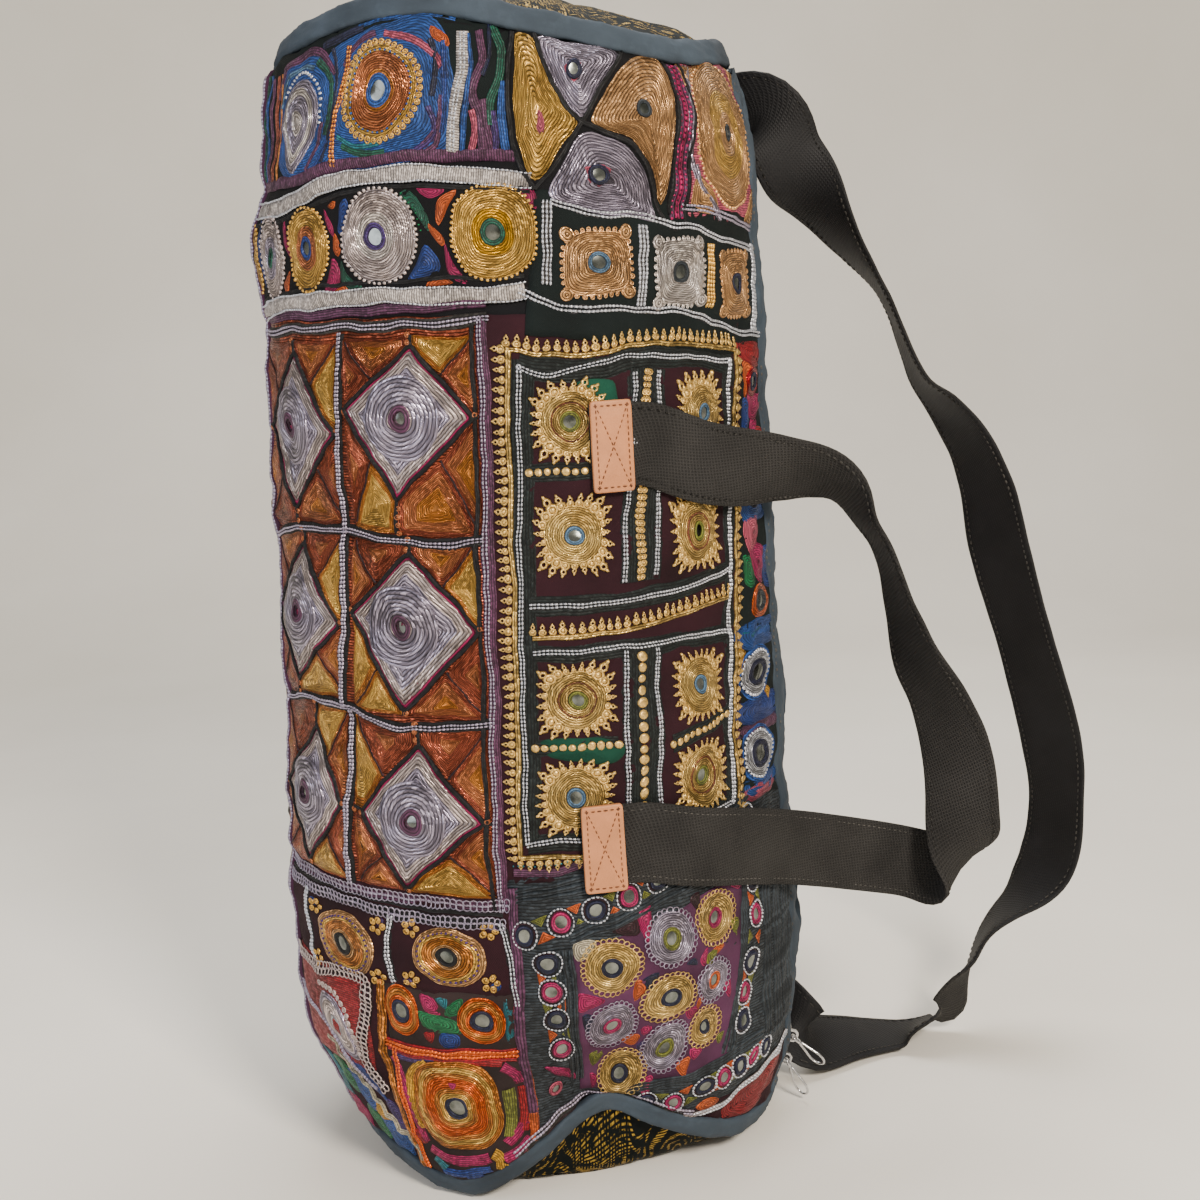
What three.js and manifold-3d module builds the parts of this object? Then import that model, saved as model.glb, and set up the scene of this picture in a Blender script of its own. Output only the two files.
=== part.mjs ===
// A soft round travel bag of embroidered patchwork, standing on one end as it is put down. The sewn wall
// is a hollow sleeve that is open along the zip; two domed end panels close it, and cloth bindings cover
// both seams. Millimetres, +Z up. The origin is the middle of the resting face. The zip runs up the +X
// side, and the side with the carry handle looks along -Y. Angles go round the bag from -Y towards +X.
import * as THREE from "three";
import { mergeVertices } from "three/addons/utils/BufferGeometryUtils.js";
import Module from "manifold-3d";

// Body
const WALL_LENGTH = 538; // between the two end seams
const BODY_RADIUS = 124;
const SQUARENESS = 2.15; // exponent of the rounded section, 2 for an ellipse
const WALL_THICKNESS = 2.4;
const CLEARANCE = 0.3; // between pieces that touch on the real bag

// Ends
const BINDING_WIDTH = 11;
const BINDING_THICKNESS = 7;
const BINDING_PROUD = 0.8; // how far the binding stands out of the wall's edge
const BINDING_LEAN = 0.4; // inwards for each millimetre away from the wall
const END_PANEL_THICKNESS = 2;
const PANEL_SEAT = 0.75; // share of the binding's width at which an end panel meets it
const TOP_BULGE = 30; // top panel's middle over the upper seam
const FOOT_RADIUS = 78; // flat of the lower panel that the bag stands on
const FOOT_GAP = 1.5; // lowest stretch of the lower binding over the floor

// Zip
const ZIP_ANGLE = 85;
const ZIP_GAP = 9; // between the folded edges of the two facings
const FACING_WIDTH = 17;
const TAPE_WIDTH = 30;
const TAPE_THICKNESS = 1;
const COIL_WIDTH = 5;
const COIL_THICKNESS = 2;
const COIL_END = 0.02; // share of the wall left free at each end of the coil
const SLIDER_LENGTH = 11.5;
const SLIDER_PLATE = 1.4;
const SLIDER_CHEEK = 1.1;
const SLIDER_RISE = 0.5; // plate over the coil, so that it clears the coil's curve
const LOWER_SLIDER_HEIGHT = 26; // over the floor
const SLIDER_PITCH = 13; // between the two sliders
const BAIL_THICKNESS = 1.4;
const BAIL_WIRE = 1.2;
const BAIL_HOLE_LENGTH = 4.6;
const BAIL_HOLE_HEIGHT = 3.8;
const PULL_WIRE = 1.6;
const PULL_EYE_WIDTH = 4.2; // wire centre to wire centre
const PULL_EYE_LENGTH = 5.4;
const PULL_LOOP_WIDTH = 8;
const PULL_LOOP_LENGTH = 17;
const PULL_LOOP_TWIST = 50; // the long loop is turned against its eye
const UPPER_PULL_LEAN = 44; // it leans out over the lower slider
const LOWER_PULL_LEAN = 25;

// Webbing and leather
const WEBBING_WIDTH = 38;
const WEBBING_THICKNESS = 2.2;
const WEBBING_GAP = 0.9; // under its sewn ends, over the raised embroidery
const PATCH_WIDTH = 19;
const PATCH_LENGTH = 41;
const PATCH_THICKNESS = 1.8;
const HANDLE_UPPER_ANGLE = 22;
const HANDLE_UPPER_HEIGHT = 371;
const HANDLE_LOWER_ANGLE = 15.5;
const HANDLE_LOWER_HEIGHT = 187;
const HANDLE_REACH = 96; // out from the bag's zip side
const STRAP_UPPER_ANGLE = 107; // the shoulder strap is sewn down behind the zip
const STRAP_UPPER_HEIGHT = 528;
const STRAP_LOWER_ANGLE = 117;
const STRAP_LOWER_HEIGHT = 40;
const STRAP_REACH = 168;

// How finely the cloth and the wires are faceted
const WALL_COLUMNS = 44;
const WALL_ROWS = 26;
const END_CROWDING = 0.55; // rows lie closer together towards the seams
const DOME_RINGS = 4;
const PATCH_COLUMNS = 3;
const PATCH_ROWS = 4;
const EYE_STEPS = 14;
const LOOP_STEPS = 22;
const WIRE_SIDES = 5;

// Section of the wall up its height: half widths as shares of BODY_RADIUS, heights as shares of WALL_LENGTH.
const SECTIONS = [
  { height: 0, left: 0.88, right: 0.93, front: 0.88, back: 0.88 },
  { height: 0.06, left: 1.02, right: 1.0, front: 0.95, back: 0.95 },
  { height: 0.15, left: 1.09, right: 1.03, front: 1.0, back: 1.0 },
  { height: 0.3, left: 1.07, right: 1.01, front: 1.01, back: 1.01 },
  { height: 0.5, left: 1.03, right: 0.99, front: 1.0, back: 1.0 },
  { height: 0.72, left: 1.01, right: 0.98, front: 0.99, back: 0.99 },
  { height: 0.88, left: 1.0, right: 0.98, front: 0.98, back: 0.98 },
  { height: 0.96, left: 0.95, right: 0.95, front: 0.95, back: 0.95 },
  { height: 1, left: 0.9, right: 0.89, front: 0.91, back: 0.91 },
];

// Dents and bulges: angle and width round the bag in degrees, height and reach up it as shares of
// WALL_LENGTH, and how far they go out as a share of BODY_RADIUS.
const DENTS = [
  { name: "tuck over the front seam", angle: 14, width: 17, height: 0.03, reach: 0.055, out: -0.13 },
  { name: "overhang of the tuck", angle: 22, width: 26, height: 0.16, reach: 0.07, out: 0.05 },
  { name: "ridge along the zip", angle: 84, width: 13, height: 0.5, reach: 0.5, out: 0.035 },
  { name: "flat beside the handle", angle: 50, width: 20, height: 0.5, reach: 0.4, out: -0.05 },
  { name: "hollow under the top band", angle: -88, width: 22, height: 0.9, reach: 0.035, out: -0.03 },
];

// Seam lines round the ends: how far each seam rises from its level, as shares of WALL_LENGTH.
const LOWER_SEAM = [
  { angle: -150, rise: 0.02 },
  { angle: -95, rise: 0.02 },
  { angle: -55, rise: 0.018 },
  { angle: -25, rise: 0 },
  { angle: -8, rise: 0.028 },
  { angle: 14, rise: 0.074 },
  { angle: 32, rise: 0.046 },
  { angle: 55, rise: 0.014 },
  { angle: 85, rise: 0.004 },
  { angle: 130, rise: 0.004 },
];
const UPPER_SEAM = [
  { angle: -150, rise: 0.0 },
  { angle: -90, rise: -0.005 },
  { angle: -45, rise: 0.012 },
  { angle: -15, rise: 0.02 },
  { angle: 15, rise: -0.005 },
  { angle: 45, rise: -0.02 },
  { angle: 75, rise: -0.012 },
  { angle: 120, rise: 0.0 },
];

// Routes of the webbing, from one sewn end to the other. out is a share of the route's reach beyond
// BODY_RADIUS, back a share of BODY_RADIUS, up a share of the rise from the lower sewn end to the upper one;
// wideOut, wideBack and wideUp say which way the webbing's width points there.
const HANDLE_ROUTE = [
  { out: -0.42, back: -0.77, up: 0.94, wideOut: 0.1, wideBack: 0, wideUp: 1 },
  { out: -0.2, back: -0.65, up: 0.91, wideOut: 0.1, wideBack: -0.2, wideUp: 1 },
  { out: 0.02, back: -0.54, up: 0.89, wideOut: 0, wideBack: -0.6, wideUp: 0.8 },
  { out: 0.2, back: -0.47, up: 0.87, wideOut: 0, wideBack: -0.7, wideUp: 0.7 },
  { out: 0.35, back: -0.43, up: 0.82, wideOut: 0, wideBack: -0.8, wideUp: 0.6 },
  { out: 0.44, back: -0.4, up: 0.74, wideOut: 0, wideBack: -0.95, wideUp: 0.3 },
  { out: 0.54, back: -0.39, up: 0.66, wideOut: 0, wideBack: -0.95, wideUp: 0.25 },
  { out: 0.63, back: -0.37, up: 0.5, wideOut: 0.15, wideBack: -0.95, wideUp: 0.3 },
  { out: 0.72, back: -0.36, up: 0.34, wideOut: 0.4, wideBack: -0.8, wideUp: 0.4 },
  { out: 0.85, back: -0.34, up: 0.2, wideOut: 0.6, wideBack: -0.7, wideUp: 0.35 },
  { out: 0.93, back: -0.32, up: 0.05, wideOut: 0.85, wideBack: -0.5, wideUp: 0.2 },
  { out: 0.95, back: -0.31, up: -0.11, wideOut: 0.9, wideBack: -0.4, wideUp: 0.1 },
  { out: 0.95, back: -0.21, up: -0.31, wideOut: 0.5, wideBack: 0.7, wideUp: 0.5 },
  { out: 0.74, back: -0.13, up: -0.29, wideOut: 0, wideBack: 0, wideUp: 1 },
  { out: 0.35, back: -0.26, up: -0.22, wideOut: 0, wideBack: 0, wideUp: 1 },
  { out: 0, back: -0.45, up: -0.15, wideOut: 0, wideBack: 0, wideUp: 1 },
  { out: -0.27, back: -0.68, up: -0.09, wideOut: 0, wideBack: 0, wideUp: 1 },
  { out: -0.53, back: -0.88, up: -0.04, wideOut: 0, wideBack: 0, wideUp: 1 },
];
const STRAP_ROUTE = [
  { out: 0.04, back: 0.13, up: 1, wideOut: -0.2, wideBack: 0, wideUp: 1 },
  { out: 0.08, back: 0.1, up: 0.98, wideOut: 0.3, wideBack: 0, wideUp: 0.95 },
  { out: 0.11, back: 0.11, up: 0.95, wideOut: 0.5, wideBack: 0, wideUp: 0.85 },
  { out: 0.21, back: 0.19, up: 0.9, wideOut: 0.4, wideBack: -0.8, wideUp: 0.45 },
  { out: 0.31, back: 0.24, up: 0.85, wideOut: 0.1, wideBack: -1, wideUp: 0.2 },
  { out: 0.42, back: 0.28, up: 0.8, wideOut: -0.1, wideBack: -1, wideUp: 0.05 },
  { out: 0.53, back: 0.34, up: 0.71, wideOut: 0, wideBack: -1, wideUp: 0.1 },
  { out: 0.61, back: 0.37, up: 0.68, wideOut: 0.15, wideBack: -0.95, wideUp: 0.3 },
  { out: 0.69, back: 0.4, up: 0.64, wideOut: 0.35, wideBack: -0.9, wideUp: 0.35 },
  { out: 0.76, back: 0.42, up: 0.58, wideOut: 0.6, wideBack: -0.8, wideUp: 0.15 },
  { out: 0.8, back: 0.45, up: 0.51, wideOut: 0.75, wideBack: -0.65, wideUp: 0 },
  { out: 0.89, back: 0.48, up: 0.4, wideOut: 0.65, wideBack: -0.75, wideUp: 0.2 },
  { out: 0.98, back: 0.51, up: 0.28, wideOut: 0.7, wideBack: -0.65, wideUp: 0.3 },
  { out: 1, back: 0.52, up: 0.2, wideOut: 0.6, wideBack: -0.8, wideUp: 0.2 },
  { out: 0.97, back: 0.52, up: 0.13, wideOut: 0.7, wideBack: -0.7, wideUp: 0.1 },
  { out: 0.91, back: 0.52, up: 0.1, wideOut: 0.45, wideBack: -0.9, wideUp: -0.1 },
  { out: 0.86, back: 0.52, up: 0.08, wideOut: 0.05, wideBack: -1, wideUp: 0 },
  { out: 0.75, back: 0.5, up: 0.05, wideOut: -0.15, wideBack: -1, wideUp: 0.15 },
  { out: 0.69, back: 0.48, up: 0.01, wideOut: -0.15, wideBack: -0.95, wideUp: 0.35 },
  { out: 0.63, back: 0.46, up: -0.02, wideOut: -0.5, wideBack: -0.7, wideUp: 0.45 },
  { out: 0.59, back: 0.44, up: -0.05, wideOut: -0.75, wideBack: -0.55, wideUp: 0.4 },
  { out: 0.54, back: 0.43, up: -0.051, wideOut: -0.7, wideBack: -0.7, wideUp: 0.1 },
  { out: 0.46, back: 0.47, up: -0.073, wideOut: -0.35, wideBack: -0.95, wideUp: 0 },
  { out: 0.36, back: 0.46, up: -0.072, wideOut: 0, wideBack: -1, wideUp: -0.05 },
  { out: 0.23, back: 0.37, up: -0.061, wideOut: 0, wideBack: -1, wideUp: -0.2 },
  { out: 0.12, back: 0.25, up: -0.052, wideOut: 0, wideBack: -0.9, wideUp: -0.45 },
  { out: 0.07, back: 0.2, up: -0.042, wideOut: 0.1, wideBack: -0.7, wideUp: -0.7 },
  { out: 0.04, back: 0.25, up: -0.02, wideOut: 0, wideBack: -0.3, wideUp: -0.95 },
];
const SEWN_LENGTH = 27; // of webbing that lies on the wall at each end
const ROUTE_STEPS = 3; // facets between two rows of a route

const TURN = 360;
const radians = THREE.MathUtils.degToRad;
const degrees = THREE.MathUtils.radToDeg;
const wasm = await Module();
wasm.setup();

// Value of a table's column at a place along its key column, through a smooth curve; with a period, the
// table repeats.
function columnAt(table, key, column, place, period = 0) {
  let rows = table.map((row) => [row[key], row[column]]);
  if (period) {
    const turned = (turns) => rows.map(([at, value]) => [at + turns * period, value]);
    place = THREE.MathUtils.euclideanModulo(place - rows[0][0], period) + rows[0][0];
    rows = [...turned(-1), ...rows, ...turned(1)];
  }
  const last = rows.length - 1;
  let i = 0;
  while (i < last - 1 && place > rows[i + 1][0]) i += 1;
  const slope = (k) => {
    const before = Math.max(k - 1, 0);
    const after = Math.min(k + 1, last);
    return (rows[after][1] - rows[before][1]) / (rows[after][0] - rows[before][0]);
  };
  const span = rows[i + 1][0] - rows[i][0];
  const s = THREE.MathUtils.clamp((place - rows[i][0]) / span, 0, 1);
  const rising = s * s * (3 - 2 * s);
  return (
    rows[i][1] * (1 - rising) +
    rows[i + 1][1] * rising +
    span * s * (1 - s) * ((1 - s) * slope(i) - s * slope(i + 1))
  );
}

// The wall's outer face: its distance from the axis, and a point on it, moved inwards by inset.
function wallRadius(angle, share) {
  const sine = Math.sin(radians(angle));
  const cosine = Math.cos(radians(angle));
  const halfWidth = (column) => BODY_RADIUS * columnAt(SECTIONS, "height", column, share);
  const across = Math.abs(sine) / halfWidth(sine > 0 ? "right" : "left");
  const along = Math.abs(cosine) / halfWidth(cosine > 0 ? "front" : "back");
  let radius = (across ** SQUARENESS + along ** SQUARENESS) ** (-1 / SQUARENESS);
  for (const dent of DENTS) {
    const turned = THREE.MathUtils.euclideanModulo(angle - dent.angle + TURN / 2, TURN) - TURN / 2;
    const spread = (turned / dent.width) ** 2 + ((share - dent.height) / dent.reach) ** 2;
    radius += BODY_RADIUS * dent.out * Math.exp(-spread);
  }
  return radius;
}

const lowerSeamLevel = FOOT_GAP + BINDING_WIDTH + CLEARANCE;
const lowerSeam = (angle) =>
  lowerSeamLevel + WALL_LENGTH * columnAt(LOWER_SEAM, "angle", "rise", angle, TURN);
const upperSeam = (angle) =>
  lowerSeamLevel + WALL_LENGTH * (1 + columnAt(UPPER_SEAM, "angle", "rise", angle, TURN));

function around(angle, radius, height) {
  return new THREE.Vector3(radius * Math.sin(radians(angle)), -radius * Math.cos(radians(angle)), height);
}

function wallPoint(angle, share, inset = 0) {
  const height = THREE.MathUtils.lerp(lowerSeam(angle), upperSeam(angle), share);
  return around(angle, wallRadius(angle, share) - inset, height);
}

const shareAt = (angle, height) =>
  (height - lowerSeam(angle)) / (upperSeam(angle) - lowerSeam(angle));

// Degrees that a length takes up round the wall.
const degreesFor = (length, angle, share) => degrees(length / wallRadius(angle, share));

// Rows crowd towards both seams, where the cloth turns under.
const rowShare = (row) => {
  const even = row / WALL_ROWS;
  return even - (END_CROWDING * Math.sin(2 * Math.PI * even)) / (2 * Math.PI);
};

// A closed geometry from points and triangles, welded, without collapsed triangles, and facing out.
function closedGeometry(points, triangles) {
  const raw = new THREE.BufferGeometry();
  raw.setAttribute("position", new THREE.Float32BufferAttribute(points.flatMap((p) => [p.x, p.y, p.z]), 3));
  raw.setIndex(triangles.flat());
  const welded = mergeVertices(raw, 1e-3);
  const index = welded.index.array;
  const corner = (k) => new THREE.Vector3().fromBufferAttribute(welded.attributes.position, index[k]);
  let kept = [];
  let volume = 0;
  for (let k = 0; k < index.length; k += 3) {
    const [a, b, c] = [index[k], index[k + 1], index[k + 2]];
    if (a === b || b === c || a === c) continue;
    kept.push([a, b, c]);
    volume += corner(k).dot(corner(k + 1).cross(corner(k + 2)));
  }
  if (volume < 0) kept = kept.map(([a, b, c]) => [a, c, b]);
  welded.setIndex(kept.flat());
  return welded;
}

// A sheet of cloth: pointAt(column, row, side) gives its outer face for side 0, its inner face for side 1.
function sheetSolid(columns, rows, pointAt) {
  const points = [];
  const triangles = [];
  const at = (i, j, side) => (side * (rows + 1) + j) * (columns + 1) + i;
  const quad = (a, b, c, d) => triangles.push([a, b, c], [a, c, d]);
  for (const side of [0, 1]) {
    for (let j = 0; j <= rows; j += 1) {
      for (let i = 0; i <= columns; i += 1) points.push(pointAt(i, j, side));
    }
  }
  for (let j = 0; j < rows; j += 1) {
    for (let i = 0; i < columns; i += 1) {
      quad(at(i, j, 0), at(i + 1, j, 0), at(i + 1, j + 1, 0), at(i, j + 1, 0));
      quad(at(i, j, 1), at(i, j + 1, 1), at(i + 1, j + 1, 1), at(i + 1, j, 1));
    }
    quad(at(0, j, 0), at(0, j + 1, 0), at(0, j + 1, 1), at(0, j, 1));
    quad(at(columns, j, 0), at(columns, j, 1), at(columns, j + 1, 1), at(columns, j + 1, 0));
  }
  for (let i = 0; i < columns; i += 1) {
    quad(at(i, 0, 0), at(i, 0, 1), at(i + 1, 0, 1), at(i + 1, 0, 0));
    quad(at(i, rows, 0), at(i + 1, rows, 0), at(i + 1, rows, 1), at(i, rows, 1));
  }
  return closedGeometry(points, triangles);
}

// A domed disc: pointAt(column, ring, side), where every column of ring 0 is the middle.
function discSolid(columns, rings, pointAt) {
  const points = [];
  const triangles = [];
  const at = (i, j, side) => (side * (rings + 1) + j) * columns + (i % columns);
  const quad = (a, b, c, d) => triangles.push([a, b, c], [a, c, d]);
  for (const side of [0, 1]) {
    for (let j = 0; j <= rings; j += 1) {
      for (let i = 0; i < columns; i += 1) points.push(pointAt(i, j, side));
    }
  }
  for (let i = 0; i < columns; i += 1) {
    for (let j = 0; j < rings; j += 1) {
      quad(at(i, j, 0), at(i, j + 1, 0), at(i + 1, j + 1, 0), at(i + 1, j, 0));
      quad(at(i, j, 1), at(i + 1, j, 1), at(i + 1, j + 1, 1), at(i, j + 1, 1));
    }
    quad(at(i, rings, 0), at(i, rings, 1), at(i + 1, rings, 1), at(i + 1, rings, 0));
  }
  return closedGeometry(points, triangles);
}

// A closed ring of sections, each a list of points.
function ringSolid(sections) {
  const sides = sections[0].length;
  const triangles = [];
  sections.forEach((_, j) => {
    const next = (j + 1) % sections.length;
    for (let i = 0; i < sides; i += 1) {
      const [a, b] = [j * sides + i, j * sides + ((i + 1) % sides)];
      const [c, d] = [next * sides + ((i + 1) % sides), next * sides + i];
      triangles.push([a, b, c], [a, c, d]);
    }
  });
  return closedGeometry(sections.flat(), triangles);
}

function solidOf(geometry) {
  const bare = geometry.index ? geometry.toNonIndexed() : geometry.clone();
  bare.deleteAttribute("normal");
  bare.deleteAttribute("uv");
  const welded = mergeVertices(bare, 1e-4);
  return new wasm.Manifold(
    new wasm.Mesh({
      numProp: 3,
      vertProperties: new Float32Array(welded.attributes.position.array),
      triVerts: new Uint32Array(welded.index.array),
    }),
  );
}

function joined(first, second) {
  const mesh = solidOf(first).add(solidOf(second)).getMesh();
  const geometry = new THREE.BufferGeometry();
  geometry.setAttribute("position", new THREE.Float32BufferAttribute(mesh.vertProperties, mesh.numProp));
  geometry.setIndex([...mesh.triVerts]);
  return geometry;
}

function finish(color, roughness, metalness = 0) {
  return new THREE.MeshStandardMaterial({ color, roughness, metalness });
}

const patchworkCloth = finish("#6e3a35", 0.75, 0.1);
const brocadeCloth = finish("#2b2c26", 0.6, 0.2);
const greyCanvas = finish("#45505a", 0.9);
const charcoalWebbing = finish("#33312e", 0.95);
const tanLeather = finish("#c98f6b", 0.6);
const blackTape = finish("#1a1b1d", 0.85);
const brightMetal = finish("#c9c9cc", 0.25, 1);

const bag = new THREE.Group();

function place(name, geometry, material, parent = bag) {
  const mesh = new THREE.Mesh(geometry, material);
  mesh.name = name;
  parent.add(mesh);
  return mesh;
}

// The wall runs from the zip's front facing, round the front, left and back, to the rear facing.
const facingEdge = ZIP_GAP / 2 + FACING_WIDTH;

function wallAngle(column, share) {
  const slot = degreesFor(facingEdge + CLEARANCE, ZIP_ANGLE, share);
  return ZIP_ANGLE - slot - (column / WALL_COLUMNS) * (TURN - 2 * slot);
}

function wall() {
  return sheetSolid(WALL_COLUMNS, WALL_ROWS, (column, row, side) => {
    const share = rowShare(row);
    return wallPoint(wallAngle(column, share), share, side * WALL_THICKNESS);
  });
}

// Angles of every upright edge that meets an end seam, so that the pieces on both sides of it are faceted
// alike.
function seamAngles(share) {
  const angles = [];
  for (let column = 0; column <= WALL_COLUMNS; column += 1) angles.push(wallAngle(column, share));
  const middle = (ZIP_GAP / 2 + facingEdge) / 2;
  for (const distance of [facingEdge, middle, ZIP_GAP / 2, 0, -ZIP_GAP / 2, -middle, -facingEdge]) {
    angles.push(ZIP_ANGLE + degreesFor(distance, ZIP_ANGLE, share) - TURN);
  }
  return angles.reverse();
}

// A strip that runs up the bag beside or across the zip line, from one distance round to another.
function zipStrip(from, to, outerInset, thickness, columns = 1, endShare = 0) {
  return sheetSolid(columns, WALL_ROWS, (column, row, side) => {
    const share = THREE.MathUtils.lerp(endShare, 1 - endShare, rowShare(row));
    const distance = THREE.MathUtils.lerp(from, to, column / columns);
    const angle = ZIP_ANGLE + degreesFor(distance, ZIP_ANGLE, share);
    return wallPoint(angle, share, outerInset + side * thickness);
  });
}

// The binding is a folded strip of cloth round the end seam; away says which way its end of the bag faces.
function binding(seamAt, share, away) {
  const sections = [];
  const halfWidth = BINDING_WIDTH / 2;
  const halfThick = BINDING_THICKNESS / 2;
  const corner = 0.6; // share of each half side before its corner is rounded off
  const outline = [
    [1, -corner],
    [1, corner],
    [corner, 1],
    [-corner, 1],
    [-1, corner],
    [-1, -corner],
    [-corner, -1],
    [corner, -1],
  ];
  for (const angle of seamAngles(share)) {
    const middle = wallRadius(angle, share) + BINDING_PROUD - halfThick;
    const height = seamAt(angle) + away * (CLEARANCE + halfWidth);
    const lean = (up) => BINDING_LEAN * halfWidth * (1 + up * away);
    const distance = (out, up) => middle + out * halfThick - lean(up);
    sections.push(outline.map(([out, up]) => around(angle, distance(out, up), height + up * halfWidth)));
  }
  return ringSolid(sections);
}

// Edge of an end panel, against the inner side of the binding.
const panelSeat = CLEARANCE + PANEL_SEAT * BINDING_WIDTH;
const panelEdgeInset =
  BINDING_THICKNESS - BINDING_PROUD + BINDING_LEAN * PANEL_SEAT * BINDING_WIDTH + CLEARANCE;
const panelRadius = (angle, share) => wallRadius(angle, share) - panelEdgeInset;

function topPanel() {
  const crown = lowerSeamLevel + WALL_LENGTH + TOP_BULGE;
  const fullness = 2.6; // exponent of the dome: higher is flatter in the middle
  const angles = seamAngles(1);
  return discSolid(angles.length, DOME_RINGS, (column, ring, side) => {
    const angle = angles[column];
    const share = ring / DOME_RINGS;
    const edge = upperSeam(angle) + panelSeat;
    const height = THREE.MathUtils.lerp(crown, edge, share ** fullness);
    return around(angle, panelRadius(angle, 1) * share, height - side * END_PANEL_THICKNESS);
  });
}

function lowerPanel() {
  const angles = seamAngles(0);
  return discSolid(angles.length, DOME_RINGS, (column, ring, side) => {
    const angle = angles[column];
    const rise = Math.max(0, (ring - 1) / (DOME_RINGS - 1));
    const edge = lowerSeam(angle) - panelSeat;
    const radius = ring ? THREE.MathUtils.lerp(FOOT_RADIUS, panelRadius(angle, 0), rise) : 0;
    return around(angle, radius, edge * rise * rise + side * END_PANEL_THICKNESS);
  });
}

place("patchwork_wall", wall(), patchworkCloth);
place("top_end_panel", topPanel(), brocadeCloth);
place("lower_end_panel", lowerPanel(), brocadeCloth);
place("top_binding", binding(upperSeam, 1, 1), greyCanvas);
place("lower_binding", binding(lowerSeam, 0, -1), greyCanvas);

place("front_zip_facing", zipStrip(-facingEdge, -ZIP_GAP / 2, 0, WALL_THICKNESS, 2), greyCanvas);
place("rear_zip_facing", zipStrip(ZIP_GAP / 2, facingEdge, 0, WALL_THICKNESS, 2), greyCanvas);

const tapeInset = WALL_THICKNESS + CLEARANCE;
const coilInset = tapeInset - CLEARANCE - COIL_THICKNESS;
place("zip_tape", zipStrip(-TAPE_WIDTH / 2, TAPE_WIDTH / 2, tapeInset, TAPE_THICKNESS, 2), blackTape);
const coil = zipStrip(-COIL_WIDTH / 2, COIL_WIDTH / 2, coilInset, COIL_THICKNESS, 1, COIL_END);
place("zip_coil", coil, blackTape);

// Slider: local X points out of the bag, Y round it, Z up the zip; the coil's outer face is at X 0.
function slider() {
  const halfWidth = ZIP_GAP / 2 - CLEARANCE;
  const cheekDepth = COIL_THICKNESS - CLEARANCE;
  const channel = new THREE.Shape([
    new THREE.Vector2(-cheekDepth, -halfWidth),
    new THREE.Vector2(SLIDER_RISE + SLIDER_PLATE, -halfWidth),
    new THREE.Vector2(SLIDER_RISE + SLIDER_PLATE, halfWidth),
    new THREE.Vector2(-cheekDepth, halfWidth),
    new THREE.Vector2(-cheekDepth, halfWidth - SLIDER_CHEEK),
    new THREE.Vector2(SLIDER_RISE, halfWidth - SLIDER_CHEEK),
    new THREE.Vector2(SLIDER_RISE, SLIDER_CHEEK - halfWidth),
    new THREE.Vector2(-cheekDepth, SLIDER_CHEEK - halfWidth),
  ]);
  const body = new THREE.ExtrudeGeometry(channel, { depth: SLIDER_LENGTH, bevelEnabled: false });
  body.translate(0, 0, -SLIDER_LENGTH / 2);
  return joined(body, bail());
}

// The bail is an arch along the slider, which the pull's eye passes through.
function bail() {
  const foot = SLIDER_RISE + SLIDER_PLATE / 2;
  const top = SLIDER_RISE + SLIDER_PLATE + BAIL_HOLE_HEIGHT;
  const arch = (halfLength, height) => {
    const round = Math.min(halfLength, height - foot) / 2;
    return [
      [foot, -halfLength],
      [height - round, -halfLength],
      [height, -halfLength + round],
      [height, halfLength - round],
      [height - round, halfLength],
      [foot, halfLength],
    ].map(([out, up]) => new THREE.Vector2(out, up));
  };
  const shape = new THREE.Shape(arch(BAIL_HOLE_LENGTH / 2 + BAIL_WIRE, top + BAIL_WIRE));
  const sill = SLIDER_RISE + 0.75 * SLIDER_PLATE; // the hole's foot, inside the plate
  const hole = arch(BAIL_HOLE_LENGTH / 2, top).map((p) => p.setX(Math.max(p.x, sill)));
  shape.holes.push(new THREE.Path(hole));
  const solid = new THREE.ExtrudeGeometry(shape, { depth: BAIL_THICKNESS, bevelEnabled: false });
  // The shape's first axis stays on X and its second goes up Z.
  return solid.rotateX(Math.PI / 2).translate(0, BAIL_THICKNESS / 2, 0);
}

// A bent wire in a vertical plane, through local points [sideways, down].
function wireLoop(outline, steps, twist) {
  const points = outline.map(([sideways, down]) => new THREE.Vector3(0, sideways, -down));
  const curve = new THREE.CatmullRomCurve3(points, true, "centripetal");
  const sections = [];
  for (let step = 0; step < steps; step += 1) {
    const middle = curve.getPointAt(step / steps);
    const along = curve.getTangentAt(step / steps);
    const inPlane = new THREE.Vector3(1, 0, 0).cross(along).normalize();
    const section = [];
    for (let side = 0; side < WIRE_SIDES; side += 1) {
      const turn = (2 * Math.PI * side) / WIRE_SIDES;
      section.push(
        new THREE.Vector3(Math.cos(turn) * (PULL_WIRE / 2), 0, 0)
          .addScaledVector(inPlane, Math.sin(turn) * (PULL_WIRE / 2))
          .add(middle),
      );
    }
    sections.push(section);
  }
  return ringSolid(sections).rotateZ(radians(twist));
}

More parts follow.
